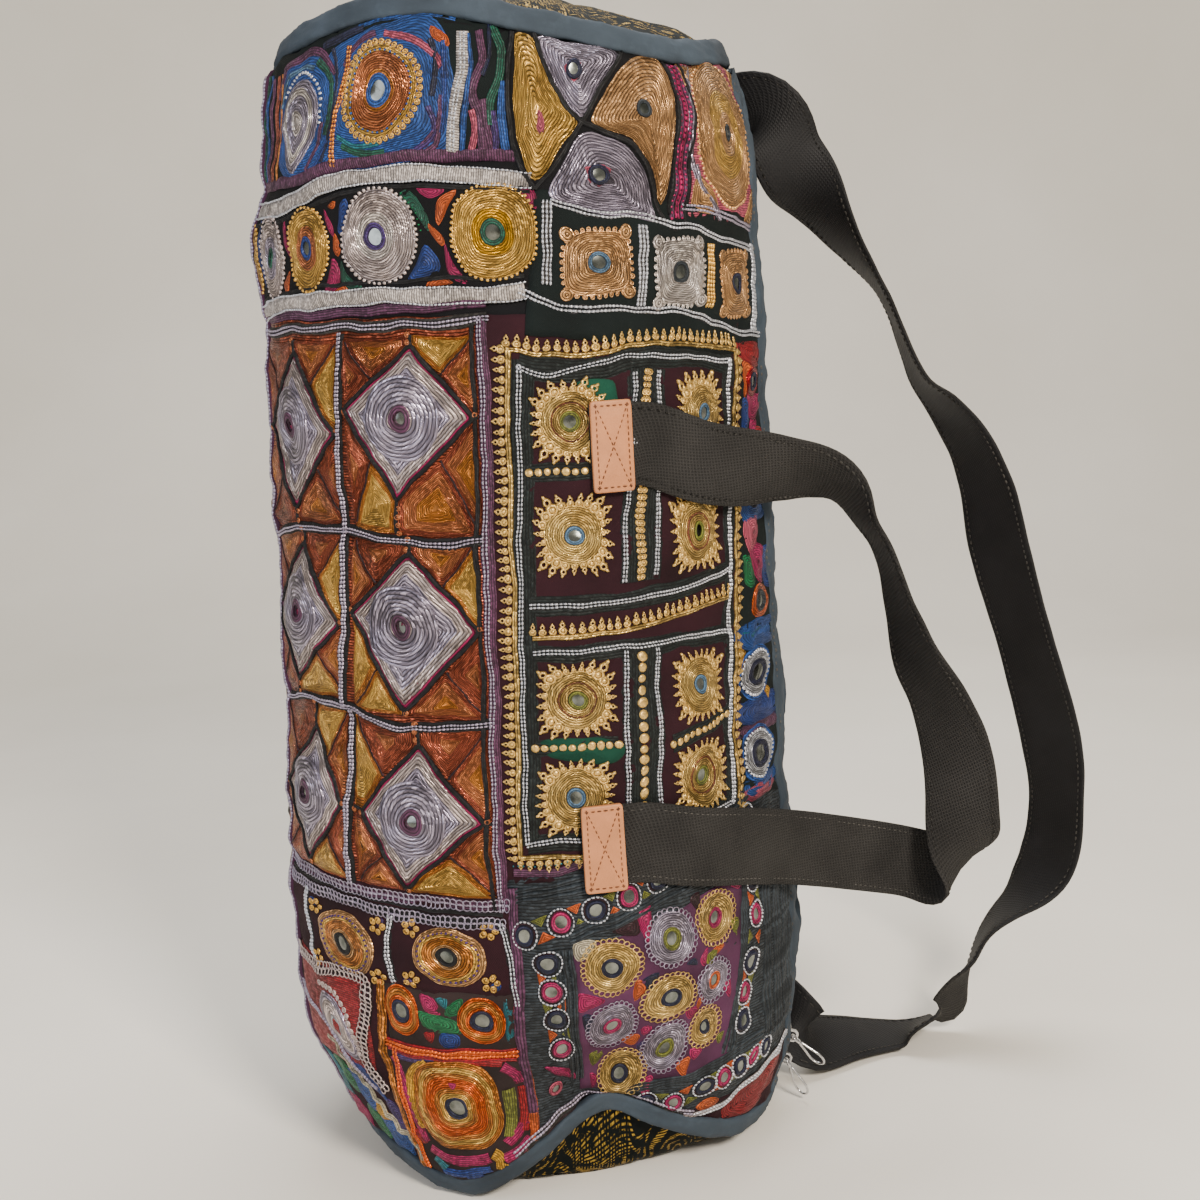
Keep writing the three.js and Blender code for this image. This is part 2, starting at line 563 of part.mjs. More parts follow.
// Pull: its eye hangs on the bail at the origin, and the long loop hangs from the eye.
function pull() {
  // Half outlines, as shares of the loop's length and half width.
  const eye = [
    { down: 0, side: 0.6 },
    { down: 0.25, side: 1 },
    { down: 0.75, side: 1 },
    { down: 1, side: 0.5 },
  ];
  const loop = [
    { down: 0, side: 0.16 },
    { down: 0.3, side: 0.55 },
    { down: 0.68, side: 1 },
    { down: 0.88, side: 0.84 },
    { down: 1, side: 0.34 },
  ];
  const whole = (half, width, length, top) => {
    const points = half.map(({ down, side }) => [(side * width) / 2, top + down * length]);
    return [...points, ...points.map(([side, down]) => [-side, down]).reverse()];
  };
  const neck = PULL_EYE_LENGTH + 0.3 * PULL_WIRE; // where the loop's top is soldered under the eye
  return joined(
    wireLoop(whole(eye, PULL_EYE_WIDTH, PULL_EYE_LENGTH, 0), EYE_STEPS, 0),
    wireLoop(whole(loop, PULL_LOOP_WIDTH, PULL_LOOP_LENGTH, neck), LOOP_STEPS, PULL_LOOP_TWIST),
  );
}

// A frame that stands on the zip: X out of the bag, Y round it, Z up the zip.
function zipFrame(height) {
  const share = shareAt(ZIP_ANGLE, height);
  const reach = SLIDER_LENGTH / 2 / WALL_LENGTH;
  const below = wallPoint(ZIP_ANGLE, share - reach, coilInset);
  const above = wallPoint(ZIP_ANGLE, share + reach, coilInset);
  const up = above.clone().sub(below).normalize();
  const out = around(ZIP_ANGLE, 1, 0).addScaledVector(up, -around(ZIP_ANGLE, 1, 0).dot(up)).normalize();
  const group = new THREE.Group();
  group.matrixAutoUpdate = false;
  group.matrix.makeBasis(out, up.clone().cross(out), up).setPosition(below.add(above).multiplyScalar(0.5));
  group.updateMatrixWorld(true);
  bag.add(group);
  return group;
}

const bailMiddle = SLIDER_RISE + SLIDER_PLATE + BAIL_HOLE_HEIGHT / 2;
const sliders = [
  { name: "lower", height: LOWER_SLIDER_HEIGHT, lean: LOWER_PULL_LEAN },
  { name: "upper", height: LOWER_SLIDER_HEIGHT + SLIDER_PITCH, lean: UPPER_PULL_LEAN },
];
for (const { name, height, lean } of sliders) {
  const frame = zipFrame(height);
  place(`${name}_slider`, slider(), brightMetal, frame);
  const pivot = new THREE.Vector3(bailMiddle, 0, 0).applyMatrix4(frame.matrix);
  const hung = place(`${name}_zip_pull`, pull(), brightMetal);
  hung.position.copy(pivot);
  hung.rotation.set(0, radians(-lean), radians(ZIP_ANGLE - 90), "ZYX");
}

// Webbing lies on the wall for its first stretch, under or clear of a patch.
function sewnPoint(angle, height, distance, lift) {
  const share = shareAt(angle, height);
  const turned = angle + degreesFor(distance, angle, share);
  return wallPoint(turned, shareAt(turned, height), -lift);
}

// A strip of webbing through middles, with its width pointing as widths say.
function webbing(middles, widths, steps) {
  const path = new THREE.CatmullRomCurve3(middles, false, "centripetal");
  const sides = new THREE.CatmullRomCurve3(widths, false, "centripetal");
  return sheetSolid(1, steps, (column, row, side) => {
    const t = row / steps;
    const along = path.getTangent(t);
    const wide = sides.getPoint(t);
    wide.addScaledVector(along, -wide.dot(along)).normalize();
    const thick = wide.clone().cross(along).normalize();
    return path
      .getPoint(t)
      .addScaledVector(wide, (column - 0.5) * WEBBING_WIDTH)
      .addScaledVector(thick, (side - 0.5) * WEBBING_THICKNESS);
  });
}

// A strap with both ends sewn to the wall; sewnAway is 1 where it leaves the wall with rising angles, and
// lowerTurn is -1 where its upper edge comes down at the lower end.
function strap(route, upper, lower, reach, sewnAway, lowerTurn) {
  const lift = WEBBING_GAP + WEBBING_THICKNESS / 2;
  const sewn = ({ angle, height }, distances) => distances.map((d) => sewnPoint(angle, height, d, lift));
  const alongWall = ({ angle, height }, distances, turn) =>
    distances.map((d) => {
      const above = sewnPoint(angle, height + (turn * WEBBING_WIDTH) / 2, d, lift);
      return above.sub(sewnPoint(angle, height - (turn * WEBBING_WIDTH) / 2, d, lift)).normalize();
    });
  const distances = [-1, 0, 1].map((k) => (k * SEWN_LENGTH * sewnAway) / 2);
  const free = route.map(
    ({ out, back, up }) =>
      new THREE.Vector3(
        BODY_RADIUS + out * reach,
        back * BODY_RADIUS,
        THREE.MathUtils.lerp(lower.height, upper.height, up),
      ),
  );
  const widths = route.map(({ wideOut, wideBack, wideUp }) => new THREE.Vector3(wideOut, wideBack, wideUp));
  const back = distances.toReversed();
  const middles = [...sewn(upper, distances), ...free, ...sewn(lower, back)];
  const allWidths = [...alongWall(upper, distances, 1), ...widths, ...alongWall(lower, back, lowerTurn)];
  return webbing(middles, allWidths, (middles.length - 1) * ROUTE_STEPS);
}

// A leather patch over a sewn end of the handle.
function leatherPatch({ angle, height }) {
  const lift = WEBBING_GAP + WEBBING_THICKNESS + 2 * CLEARANCE;
  return sheetSolid(PATCH_COLUMNS, PATCH_ROWS, (column, row, side) => {
    const distance = (column / PATCH_COLUMNS) * PATCH_WIDTH - SEWN_LENGTH / 2;
    const level = height + (row / PATCH_ROWS - 0.5) * PATCH_LENGTH;
    return sewnPoint(angle, level, distance, lift + (1 - side) * PATCH_THICKNESS);
  });
}

const handleEnds = {
  upper: { angle: HANDLE_UPPER_ANGLE, height: HANDLE_UPPER_HEIGHT },
  lower: { angle: HANDLE_LOWER_ANGLE, height: HANDLE_LOWER_HEIGHT },
};
const handle = strap(HANDLE_ROUTE, handleEnds.upper, handleEnds.lower, HANDLE_REACH, 1, 1);
place("carry_handle", handle, charcoalWebbing);
place("upper_leather_patch", leatherPatch(handleEnds.upper), tanLeather);
place("lower_leather_patch", leatherPatch(handleEnds.lower), tanLeather);

const strapEnds = {
  upper: { angle: STRAP_UPPER_ANGLE, height: STRAP_UPPER_HEIGHT },
  lower: { angle: STRAP_LOWER_ANGLE, height: STRAP_LOWER_HEIGHT },
};
const shoulderStrap = strap(STRAP_ROUTE, strapEnds.upper, strapEnds.lower, STRAP_REACH, -1, -1);
place("shoulder_strap", shoulderStrap, charcoalWebbing);

export default bag;
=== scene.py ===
# A soft round travel bag in embroidered patchwork, standing on one end. The needlework is charted flat, in
# millimetres round the bag and up it, and is then laid on the sleeve's outer face.
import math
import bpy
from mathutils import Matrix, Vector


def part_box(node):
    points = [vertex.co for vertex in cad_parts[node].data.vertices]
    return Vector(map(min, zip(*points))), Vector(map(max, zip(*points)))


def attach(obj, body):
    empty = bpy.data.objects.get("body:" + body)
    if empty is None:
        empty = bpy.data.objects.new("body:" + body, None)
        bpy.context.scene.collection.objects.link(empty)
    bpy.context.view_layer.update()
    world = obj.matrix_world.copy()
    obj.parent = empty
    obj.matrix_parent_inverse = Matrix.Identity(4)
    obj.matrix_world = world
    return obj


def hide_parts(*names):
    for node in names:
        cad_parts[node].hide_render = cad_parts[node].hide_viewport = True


bl_info = {
    "name": "Patchwork travel bag",
    "version": (1, 0, 0),
    "blender": (4, 5, 0),
    "location": "3D View > Sidebar > Bag",
    "description": "Dresses the frame of a travel bag in embroidered patchwork, webbing, leather and metal",
    "category": "Add Mesh",
}

import bmesh
import bpy
import numpy as np
from bpy.props import FloatProperty, FloatVectorProperty, IntProperty, PointerProperty
from mathutils import Matrix, Vector
from mathutils.bvhtree import BVHTree

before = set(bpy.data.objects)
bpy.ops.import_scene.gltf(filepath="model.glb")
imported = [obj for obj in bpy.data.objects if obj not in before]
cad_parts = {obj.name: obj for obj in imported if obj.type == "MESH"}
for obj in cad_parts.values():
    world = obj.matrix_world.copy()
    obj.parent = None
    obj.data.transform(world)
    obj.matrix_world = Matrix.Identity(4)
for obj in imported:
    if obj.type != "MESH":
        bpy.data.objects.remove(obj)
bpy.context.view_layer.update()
MM = 0.001
BAG = "bag"


def shade(code):
    """Linear colour of a web colour code."""
    parts = [int(code[k : k + 2], 16) / 255 for k in (1, 3, 5)]
    return tuple(c / 12.92 if c <= 0.04045 else ((c + 0.055) / 1.055) ** 2.4 for c in parts)


# Colours of the threads and cloths: name, code, what it colours
THREADS = (
    ("gold", "#dfae55", "Yellow gold thread"),
    ("pale_gold", "#dcb66a", "Pale gold thread of the suns"),
    ("copper", "#bb7046", "Copper thread"),
    ("sand", "#d8a46e", "Sand gold thread of the quartered patch"),
    ("silver", "#a79db0", "Silver thread"),
    ("blush", "#cdbcb8", "Silver thread with a pink core"),
    ("bright", "#c3c5cd", "Bright silver chain"),
    ("rust", "#a2523a", "Rust thread"),
    ("amber", "#cb7f38", "Orange gold thread"),
    ("orange", "#d9601f", "Orange silk"),
    ("yellow", "#d99e1e", "Yellow silk"),
    ("red", "#a4141f", "Red silk"),
    ("magenta", "#b3175f", "Magenta silk"),
    ("pink", "#c4566f", "Pink silk"),
    ("plum", "#66395a", "Plum cloth"),
    ("violet", "#47306f", "Violet silk"),
    ("blue", "#2856a4", "Blue cloth"),
    ("royal", "#23418f", "Royal blue silk"),
    ("navy", "#1d2140", "Navy silk"),
    ("steel", "#5b7fa0", "Steel blue silk"),
    ("teal", "#1f7380", "Teal silk"),
    ("green", "#1e5a47", "Dark green silk"),
    ("leaf", "#157a48", "Bright green silk"),
    ("olive", "#7f8330", "Olive silk"),
    ("cream", "#cfc3a6", "Cream braid"),
    ("satin", "#e2d7d0", "White satin band"),
    ("maroon", "#34151f", "Maroon cloth"),
    ("night", "#131d1d", "Black-green cloth"),
    ("slate", "#30383f", "Slate chain stitch"),
    ("ink", "#121216", "Black outline cord"),
    ("charcoal", "#35322f", "Grey outline cord"),
    ("umber", "#3b2f2e", "Brown-grey ground between silk scraps"),
)


class ThreadColours(bpy.types.PropertyGroup):
    """Colours of the threads and cloths."""

    __annotations__ = {
        name: FloatVectorProperty(
            name=name.replace("_", " ").capitalize(), description=text, default=shade(code), subtype="COLOR"
        )
        for name, code, text in THREADS
    }


class ClothSizes(bpy.types.PropertyGroup):
    """Sizes of the cloth and of its stitches."""

    girth: FloatProperty(name="Girth", description="Round the sleeve", default=0.779, unit="LENGTH")
    cell: FloatProperty(name="Cell", description="Mesh cell of the cloth", default=0.005, unit="LENGTH")
    crumple: FloatProperty(name="Crumple", description="Depth of its creases", default=0.0014, unit="LENGTH")
    wobble: FloatProperty(name="Wobble", description="Unevenness by hand", default=0.0005, unit="LENGTH")
    row: FloatProperty(name="Row", description="Between rows of stitches", default=0.0014, unit="LENGTH")
    stitch: FloatProperty(name="Stitch", description="Length of a stitch", default=0.0021, unit="LENGTH")
    seed: IntProperty(name="Seed", description="For all that is uneven", default=7)


class WebbingSizes(bpy.types.PropertyGroup):
    """Sizes of the webbing and of what is sewn on it."""

    hem: FloatProperty(name="Hem", description="Edge to its seam", default=0.0033, unit="LENGTH")
    step: FloatProperty(name="Step", description="Mesh step along it", default=0.004, unit="LENGTH")
    seam_stitch: FloatProperty(name="Seam stitch", description="Seam pitch", default=0.0034, unit="LENGTH")
    tooth: FloatProperty(name="Zip tooth", description="Pitch of the coil", default=0.0015, unit="LENGTH")


def settings():
    """The scene's own sizes and colours."""
    scene = bpy.context.scene
    return scene.bag_cloth, scene.bag_webbing, scene.bag_threads


def tint(name):
    """Colour of a thread by its name."""
    return tuple(getattr(bpy.context.scene.bag_threads, name))


# Helpers for numbers and paths
def ripples(x, y, wave, seed, count=7):
    """Soft random waves over a plane, about -1 to 1."""
    draw = np.random.default_rng(seed)
    total = np.zeros(np.broadcast(x, y).shape)
    for turn, phase, stretch in draw.uniform((0, 0, 0.7), (math.pi, 2 * math.pi, 1.5), (count, 3)):
        rate = 2 * math.pi / (wave * stretch)
        total += np.sin(rate * (x * math.cos(turn) + y * math.sin(turn)) + phase)
    return total / math.sqrt(count)


def blurred(field, reach, axis, periodic):
    """A field smoothed along one axis."""
    offsets = np.arange(-3 * math.ceil(reach), 3 * math.ceil(reach) + 1)
    weights = np.exp(-0.5 * (offsets / reach) ** 2)
    edge = len(offsets) // 2
    width = [(edge, edge) if k == axis else (0, 0) for k in range(field.ndim)]
    wide = np.pad(field, width, mode="wrap" if periodic else "edge")
    pieces = [w * np.take(wide, range(k, k + field.shape[axis]), axis) for k, w in enumerate(weights)]
    return sum(pieces) / weights.sum()


def places(path):
    """A path's points, also where it is written as text: x,y x,y."""
    if isinstance(path, str):
        path = [word.split(",") for word in path.split()]
    return np.array(path, float)


def charted(text):
    """Rows of a chart, a line each: names and sizes, then a path of places."""
    for line in text.strip().splitlines():
        words = line.split()
        heads = [word if word[-1].isalpha() else float(word) for word in words if "," not in word]
        yield [*heads, places(" ".join(words[len(heads):]))]


def evenly(points, step, closed=False):
    """A path resampled in even steps."""
    points = places(points)
    if closed:
        points = np.vstack([points, points[:1]])
    lengths = np.concatenate([[0], np.cumsum(np.linalg.norm(np.diff(points, axis=0), axis=1))])
    count = max(3 if closed else 1, round(lengths[-1] / step))
    at = np.linspace(0, lengths[-1], count + 1)
    even = np.stack([np.interp(at, lengths, points[:, k]) for k in range(points.shape[1])], 1)
    return even[:-1] if closed else even


def through(points, step=2.0, closed=False):
    """A smooth path through points."""
    points = places(points)
    count = len(points)
    at = lambda k: points[k % count] if closed else points[min(max(k, 0), count - 1)]
    t = np.linspace(0, 1, 12, endpoint=False)[:, None]
    start, slope = 2 * t**3 - 3 * t**2 + 1, t**3 - 2 * t**2 + t
    end, bend = 3 * t**2 - 2 * t**3, t**3 - t**2
    curve = []
    for k in range(count if closed else count - 1):
        a, b, c, d = (at(k + n) for n in (-1, 0, 1, 2))
        curve.append(b * start + (c - a) / 2 * slope + c * end + (d - b) / 2 * bend)
    curve = np.vstack(curve + ([] if closed else [points[-1:]]))
    return evenly(curve, step, closed)


def ellipse(x, y, rx, ry, turn=0.0, count=44, square=2.0):
    """A rounded outline, counterclockwise: square is 2 for an ellipse, and higher is boxier."""
    t = np.linspace(0, 2 * math.pi, count, endpoint=False)
    shape = lambda wave: np.sign(wave) * np.abs(wave) ** (2 / square)
    px, py = rx * shape(np.cos(t)), ry * shape(np.sin(t))
    c, s = math.cos(math.radians(turn)), math.sin(math.radians(turn))
    return np.stack([x + px * c - py * s, y + px * s + py * c], 1)


def sideways(path, closed=False):
    """Left-hand direction at each point of a flat path."""
    if closed:
        along = np.roll(path, -1, 0) - np.roll(path, 1, 0)
    else:
        along = np.gradient(path, axis=0)
    along = along / np.maximum(np.linalg.norm(along, axis=1, keepdims=True), 1e-9)
    return np.stack([-along[:, 1], along[:, 0]], 1)


def heading(angle):
    """Direction out from the axis at an angle in degrees, from -Y towards +X."""
    return Vector((math.sin(math.radians(angle)), -math.cos(math.radians(angle)), 0))


# Helpers that read the frame
def welded(node):
    """A frame node's mesh with its doubles merged."""
    mesh = bmesh.new()
    mesh.from_mesh(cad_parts[node].data)
    bmesh.ops.remove_doubles(mesh, verts=mesh.verts, dist=0.01 * MM)
    return mesh


def spots_of(node):
    """A frame node's vertices in millimetres, without doubles."""
    mesh = welded(node)
    spots = np.array([v.co for v in mesh.verts]) / MM
    mesh.free()
    return spots


def face_tree(*nodes):
    """Search tree over the faces of frame nodes."""
    points, faces = [], []
    for node in nodes:
        mesh = welded(node)
        faces += [[v.index + len(points) for v in f.verts] for f in mesh.faces]
        points += [v.co.copy() for v in mesh.verts]
        mesh.free()
    return BVHTree.FromPolygons(points, faces)


class Sleeve:
    """The bag's outer face as a smooth surface over millimetres round it and up it."""

    FAR = 0.5
    TURN_STEP = 2.0
    RISE_STEP = 4.0

    def __init__(self):
        cloth = settings()[0]
        self.girth, self.crumple, self.wobble = cloth.girth / MM, cloth.crumple / MM, cloth.wobble / MM
        self.seed = cloth.seed
        tree = face_tree("patchwork_wall", "front_zip_facing", "rear_zip_facing")
        low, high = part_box("patchwork_wall")
        self.angles = np.arange(0, 360, self.TURN_STEP)
        self.levels = np.arange(low.z / MM - 8, high.z / MM + 8, self.RISE_STEP)
        found = np.full((len(self.angles), len(self.levels)), np.nan)
        for i, angle in enumerate(self.angles):
            out = heading(angle)
            for j, level in enumerate(self.levels):
                spot = tree.ray_cast(out * self.FAR + Vector((0, 0, level * MM)), -out)[0]
                if spot and spot.dot(out) > 0:
                    found[i, j] = math.hypot(spot.x, spot.y) / MM
        hit = ~np.isnan(found)
        whole = np.flatnonzero(hit.sum(1) > len(self.levels) / 2)
        spread = lambda values: np.interp(self.angles, self.angles[whole], values, period=360.0)
        lowest = [self.levels[hit[i]].min() for i in whole]
        highest = [self.levels[hit[i]].max() for i in whole]
        self.lower, self.upper = spread(lowest), spread(highest)
        filled = np.array([np.interp(self.levels, self.levels[hit[i]], found[i][hit[i]]) for i in whole])
        radius = np.stack([spread(filled[:, j]) for j in range(len(self.levels))], 1)
        self.radii = blurred(blurred(radius, 1.2, 0, True), 1.3, 1, False)
        self.lower, self.upper = blurred(self.lower, 1, 0, True), blurred(self.upper, 1, 0, True)

    def angle(self, around):
        return around / self.girth * 360

    def around(self, angle):
        return angle * self.girth / 360

    def seams(self, around):
        """Heights of the lower and the upper seam."""
        angle = self.angle(around)
        pick = lambda values: np.interp(angle, self.angles, values, period=360.0)
        return pick(self.lower), pick(self.upper)

    def radius(self, around, up):
        """Distance of the smooth face from the axis."""
        i = np.mod(self.angle(around), 360) / self.TURN_STEP
        j = np.clip((up - self.levels[0]) / self.RISE_STEP, 0, len(self.levels) - 1.001)
        i0, j0 = np.floor(i).astype(int) % len(self.angles), np.floor(j).astype(int)
        i1 = (i0 + 1) % len(self.angles)
        s, t = i - np.floor(i), j - j0
        grid = self.radii
        low = grid[i0, j0] * (1 - s) + grid[i1, j0] * s
        return low * (1 - t) + (grid[i0, j0 + 1] * (1 - s) + grid[i1, j0 + 1] * s) * t

    def creases(self, around, up):
        """How far the cloth stands out or pulls in by its own unevenness."""
        soft = ripples(around, up, 70, self.seed) + 0.5 * ripples(around, up, 30, self.seed + 1)
        fine = ripples(around, up * 1.3, 15, self.seed + 2)
        total = self.crumple * (0.8 * soft + 0.28 * fine)
        for x0, y0, x1, y1, depth, width in SEAM_VALLEYS:
            run = np.array([x1 - x0, y1 - y0])
            share = np.clip(((around - x0) * run[0] + (up - y0) * run[1]) / (run @ run), 0, 1)
            gap = np.hypot(around - x0 - share * run[0], up - y0 - share * run[1])
            total = total - depth * np.exp(-((gap / width) ** 2))
        return total

    def uneven(self, points):
        """Flat points moved a little, as a hand sews."""
        x, y = points[:, 0], points[:, 1]
        moved = points.copy()
        sway = lambda wave, seed: ripples(x, y, wave, self.seed + seed)
        moved[:, 0] += self.wobble * (sway(34, 3) + 0.5 * sway(13, 4))
        moved[:, 1] += self.wobble * (sway(31, 5) + 0.5 * sway(12, 6))
        return moved

    def wrap(self, points, creased=True):
        """Flat points (around, up, out) in millimetres, laid on the bag in metres."""
        around, up, out = points.T
        low, high = self.seams(around)
        past = np.maximum(low - up, 0) + np.maximum(up - high, 0)
        reach = self.radius(around, up) + out - 0.8 * past
        if creased:
            reach = reach + self.creases(around, up)
        turn = np.radians(self.angle(around))
        return np.stack([reach * np.sin(turn), -reach * np.cos(turn), up], 1) * MM


# Valleys where patches are sewn together: from, to, depth and width
SEAM_VALLEYS = (
    (-158, 497, 4, 497, 1.6, 5),
    (-158, 434, 8, 436, 1.4, 5),
    (-12, 430, -18, 166, 1.5, 5),
    (6, 552, 9, 480, 1.2, 4),
    (12, 486, 160, 466, 1.4, 5),
    (8, 438, 160, 420, 1.4, 5),
    (-84, 425, -90, 170, 1.2, 4),
    (-158, 333, -14, 333, 1.2, 4),
    (-158, 250, -16, 246, 1.2, 4),
    (-158, 166, -16, 160, 1.6, 5),
    (-130, 118, -18, 117, 1.3, 4),
    (-80, 118, -86, 20, 1.4, 4),
    (-84, 88, -17, 86, 1.3, 4),
    (-18, 160, -16, 40, 1.8, 5),
    (-12, 170, 130, 196, 1.4, 5),
    (138, 420, 122, 180, 1.3, 4),
    (-10, 78, 20, 48, 2.4, 6),
    (20, 48, 60, 43, 2.6, 6),
)


# Finishes
def dimmed(colour, share):
    """A colour made darker or lighter, with its alpha."""
    return (*(min(1.0, share * c) for c in colour), 1.0)


def connect(tree, value, socket):
    """Links a socket to another, or sets its value."""
    if isinstance(value, bpy.types.NodeSocket):
        tree.links.new(value, socket)
    else:
        socket.default_value = value


def add_node(tree, kind, *links, **values):
    """A new node with its values set, and then its sockets linked or set."""
    made = tree.nodes.new(kind)
    for key, value in values.items():
        setattr(made, key, value)
    for socket, source in links:
        connect(tree, source, made.inputs[socket])
    return made


class Shader:
    """A material that is built node by node."""

    def __init__(self, name):
        self.material = bpy.data.materials.new(name)
        self.material.use_nodes = True
        self.tree = self.material.node_tree
        self.surface = self.tree.nodes["Principled BSDF"]

    def node(self, kind, *links, **values):
        return add_node(self.tree, kind, *links, **values)

    def math(self, operation, first, second=0.0):
        return self.node("ShaderNodeMath", (0, first), (1, second), operation=operation).outputs[0]

    def times(self, first, second):
        return self.math("MULTIPLY", first, second)

    def plus(self, first, second):
        return self.math("ADD", first, second)

    def waves(self, value, rate):
        return self.math("SINE", self.times(value, rate))

    def vector(self, operation, first, second):
        return self.node("ShaderNodeVectorMath", (0, first), (1, second), operation=operation).outputs[0]

    def joined(self, *values):
        return self.node("ShaderNodeCombineXYZ", *enumerate(values)).outputs[0]

    def mix(self, share, first, second, blend="MIX"):
        links = ((0, share), (6, first), (7, second))
        return self.node("ShaderNodeMix", *links, data_type="RGBA", blend_type=blend).outputs[2]

    def shaded(self, colour, light):
        """A colour made lighter or darker from place to place."""
        return self.mix(1.0, colour, self.joined(light, light, light), "MULTIPLY")

    def between(self, share, colour, low, high):
        """A colour between two shares of itself."""
        return self.mix(share, dimmed(colour, low), dimmed(colour, high))

    def range(self, value, low, high, to_low=0.0, to_high=1.0):
        links = ((0, value), (1, low), (2, high), (3, to_low), (4, to_high))
        return self.node("ShaderNodeMapRange", *links).outputs[0]

    def spot(self):
        return self.node("ShaderNodeTexCoord").outputs["Object"]

    def noise(self, scale, detail=3.0):
        links = (("Vector", self.spot()), ("Scale", scale), ("Detail", detail))
        return self.node("ShaderNodeTexNoise", *links).outputs["Fac"]

    def cells(self, scale, vector, **values):
        links = (("Vector", vector), ("Scale", scale))
        return self.node("ShaderNodeTexVoronoi", *links, **values).outputs["Distance"]

    def uv(self):
        flat = self.node("ShaderNodeUVMap", uv_map="UVMap").outputs[0]
        return self.node("ShaderNodeSeparateXYZ", (0, flat)).outputs[:2]

    def colour(self):
        return self.node("ShaderNodeAttribute", attribute_name="colour").outputs["Color"]

    def random(self, first, second):
        spot = self.joined(first, second)
        return self.node("ShaderNodeTexWhiteNoise", (0, spot), noise_dimensions="2D").outputs[0]

    def bump(self, height, depth, strength=1.0, normal=None):
        links = [("Height", height), ("Distance", depth * MM), ("Strength", strength)]
        if normal:
            links.append(("Normal", normal))
        return self.node("ShaderNodeBump", *links).outputs[0]

    def finish(self, **sockets):
        for name, value in sockets.items():
            connect(self.tree, value, self.surface.inputs[name.replace("_", " ")])
        return self.material


def rgba(colour):
    return (*colour, 1.0)


def stitched_cloth(name, metallic, roughness, depth, row_share=1.0, sparkle=1.0):
    """Rows of chain stitch in the thread's own colour, with painted light: a painted glint on each stitch,
    soft patches of painted sheen and painted shade in the valleys between rows; metallic for metal thread.
    """
    cloth = settings()[0]
    s = Shader(name)
    u, v = s.uv()
    rows = s.math("DIVIDE", v, cloth.row / MM * row_share)
    row = s.math("FLOOR", rows)
    across = s.math("ABSOLUTE", s.math("SUBTRACT", s.math("FRACT", rows), 0.5))
    start = s.times(s.random(row, 3.7), 5.0)
    along = s.plus(s.math("DIVIDE", u, cloth.stitch / MM * row_share), start)
    slanted = s.plus(along, s.times(across, 0.9))
    part, place = s.math("FRACT", slanted), s.math("FLOOR", slanted)
    glint, tilt = s.random(place, row), s.random(row, s.plus(place, 17.3))
    ridge = s.math("POWER", s.range(across, 0.0, 0.5, 1.0, 0.0), 0.6)
    ends = s.math("POWER", s.waves(part, math.pi), 0.5)
    shape = s.times(ridge, s.range(ends, 0.0, 1.0, 0.45, 1.0))
    lean = s.times(s.times(s.math("SUBTRACT", tilt, 0.5), part), 0.9 * sparkle)
    # Painted sheen: soft patches of the thread made lighter or darker, as light would catch it.
    painted_sheen = s.range(s.noise(38.0, 4.0), 0.3, 0.7, -0.2, 0.22)
    bright = s.math("POWER", glint, 1.0 + 1.2 * sparkle)
    light = s.plus(s.range(bright, 0.0, 1.0, 0.42, 0.8 + 1.1 * sparkle), painted_sheen)
    # Painted glints and painted shade: each stitch is lit brighter at random, and the valleys between rows
    # and the stitch ends are painted dark.
    colour = s.shaded(s.colour(), s.times(light, s.range(shape, 0.15, 0.75, 0.1, 0.85)))
    gloss = s.range(glint, 0.0, 1.0, roughness + 0.14, roughness - 0.12)
    raised = s.bump(s.plus(shape, lean), depth, 0.9)
    return s.finish(Base_Color=colour, Metallic=metallic, Roughness=gloss, Normal=raised,
                    Specular_IOR_Level=0.3)


def thread_links(name="metal stitches"):
    """Single stitches of metal thread, in their own colour."""
    s = Shader(name)
    colour = s.shaded(s.colour(), s.range(s.noise(900.0, 2.0), 0.3, 0.7, 0.5, 1.15))
    fine = s.bump(s.noise(2600.0, 1.0), 0.15, 0.7)
    return s.finish(Base_Color=colour, Metallic=0.72, Roughness=0.36, Normal=fine)


def plain_cloth(name):
    """Woven ground cloth in its own colour, faded in places."""
    s = Shader(name)
    u, v = s.uv()
    weave = s.times(s.waves(u, 8.0), s.waves(v, 8.0))
    colour = s.shaded(s.colour(), s.range(s.noise(28.0, 5.0), 0.3, 0.75, 0.28, 0.75))
    slubs = s.bump(s.plus(s.times(weave, 0.4), s.noise(420.0, 3.0)), 0.25, 0.8)
    return s.finish(Base_Color=colour, Roughness=0.85, Normal=slubs, Specular_IOR_Level=0.2)


def canvas(name, colour):
    """Plain close-woven cloth with worn creases."""
    s = Shader(name)
    tone = s.between(s.range(s.noise(22.0, 6.0), 0.32, 0.68), colour, 0.62, 1.35)
    rubbed = s.range(s.noise(150.0, 4.0), 0.55, 0.8, 0.0, 0.35)
    tone = s.mix(rubbed, tone, dimmed(colour, 1.9))
    weave = s.bump(s.noise(1500.0, 2.0), 0.12, 0.8, s.bump(s.noise(90.0, 5.0), 0.8, 0.5))
    return s.finish(Base_Color=tone, Roughness=0.82, Normal=weave, Specular_IOR_Level=0.25)


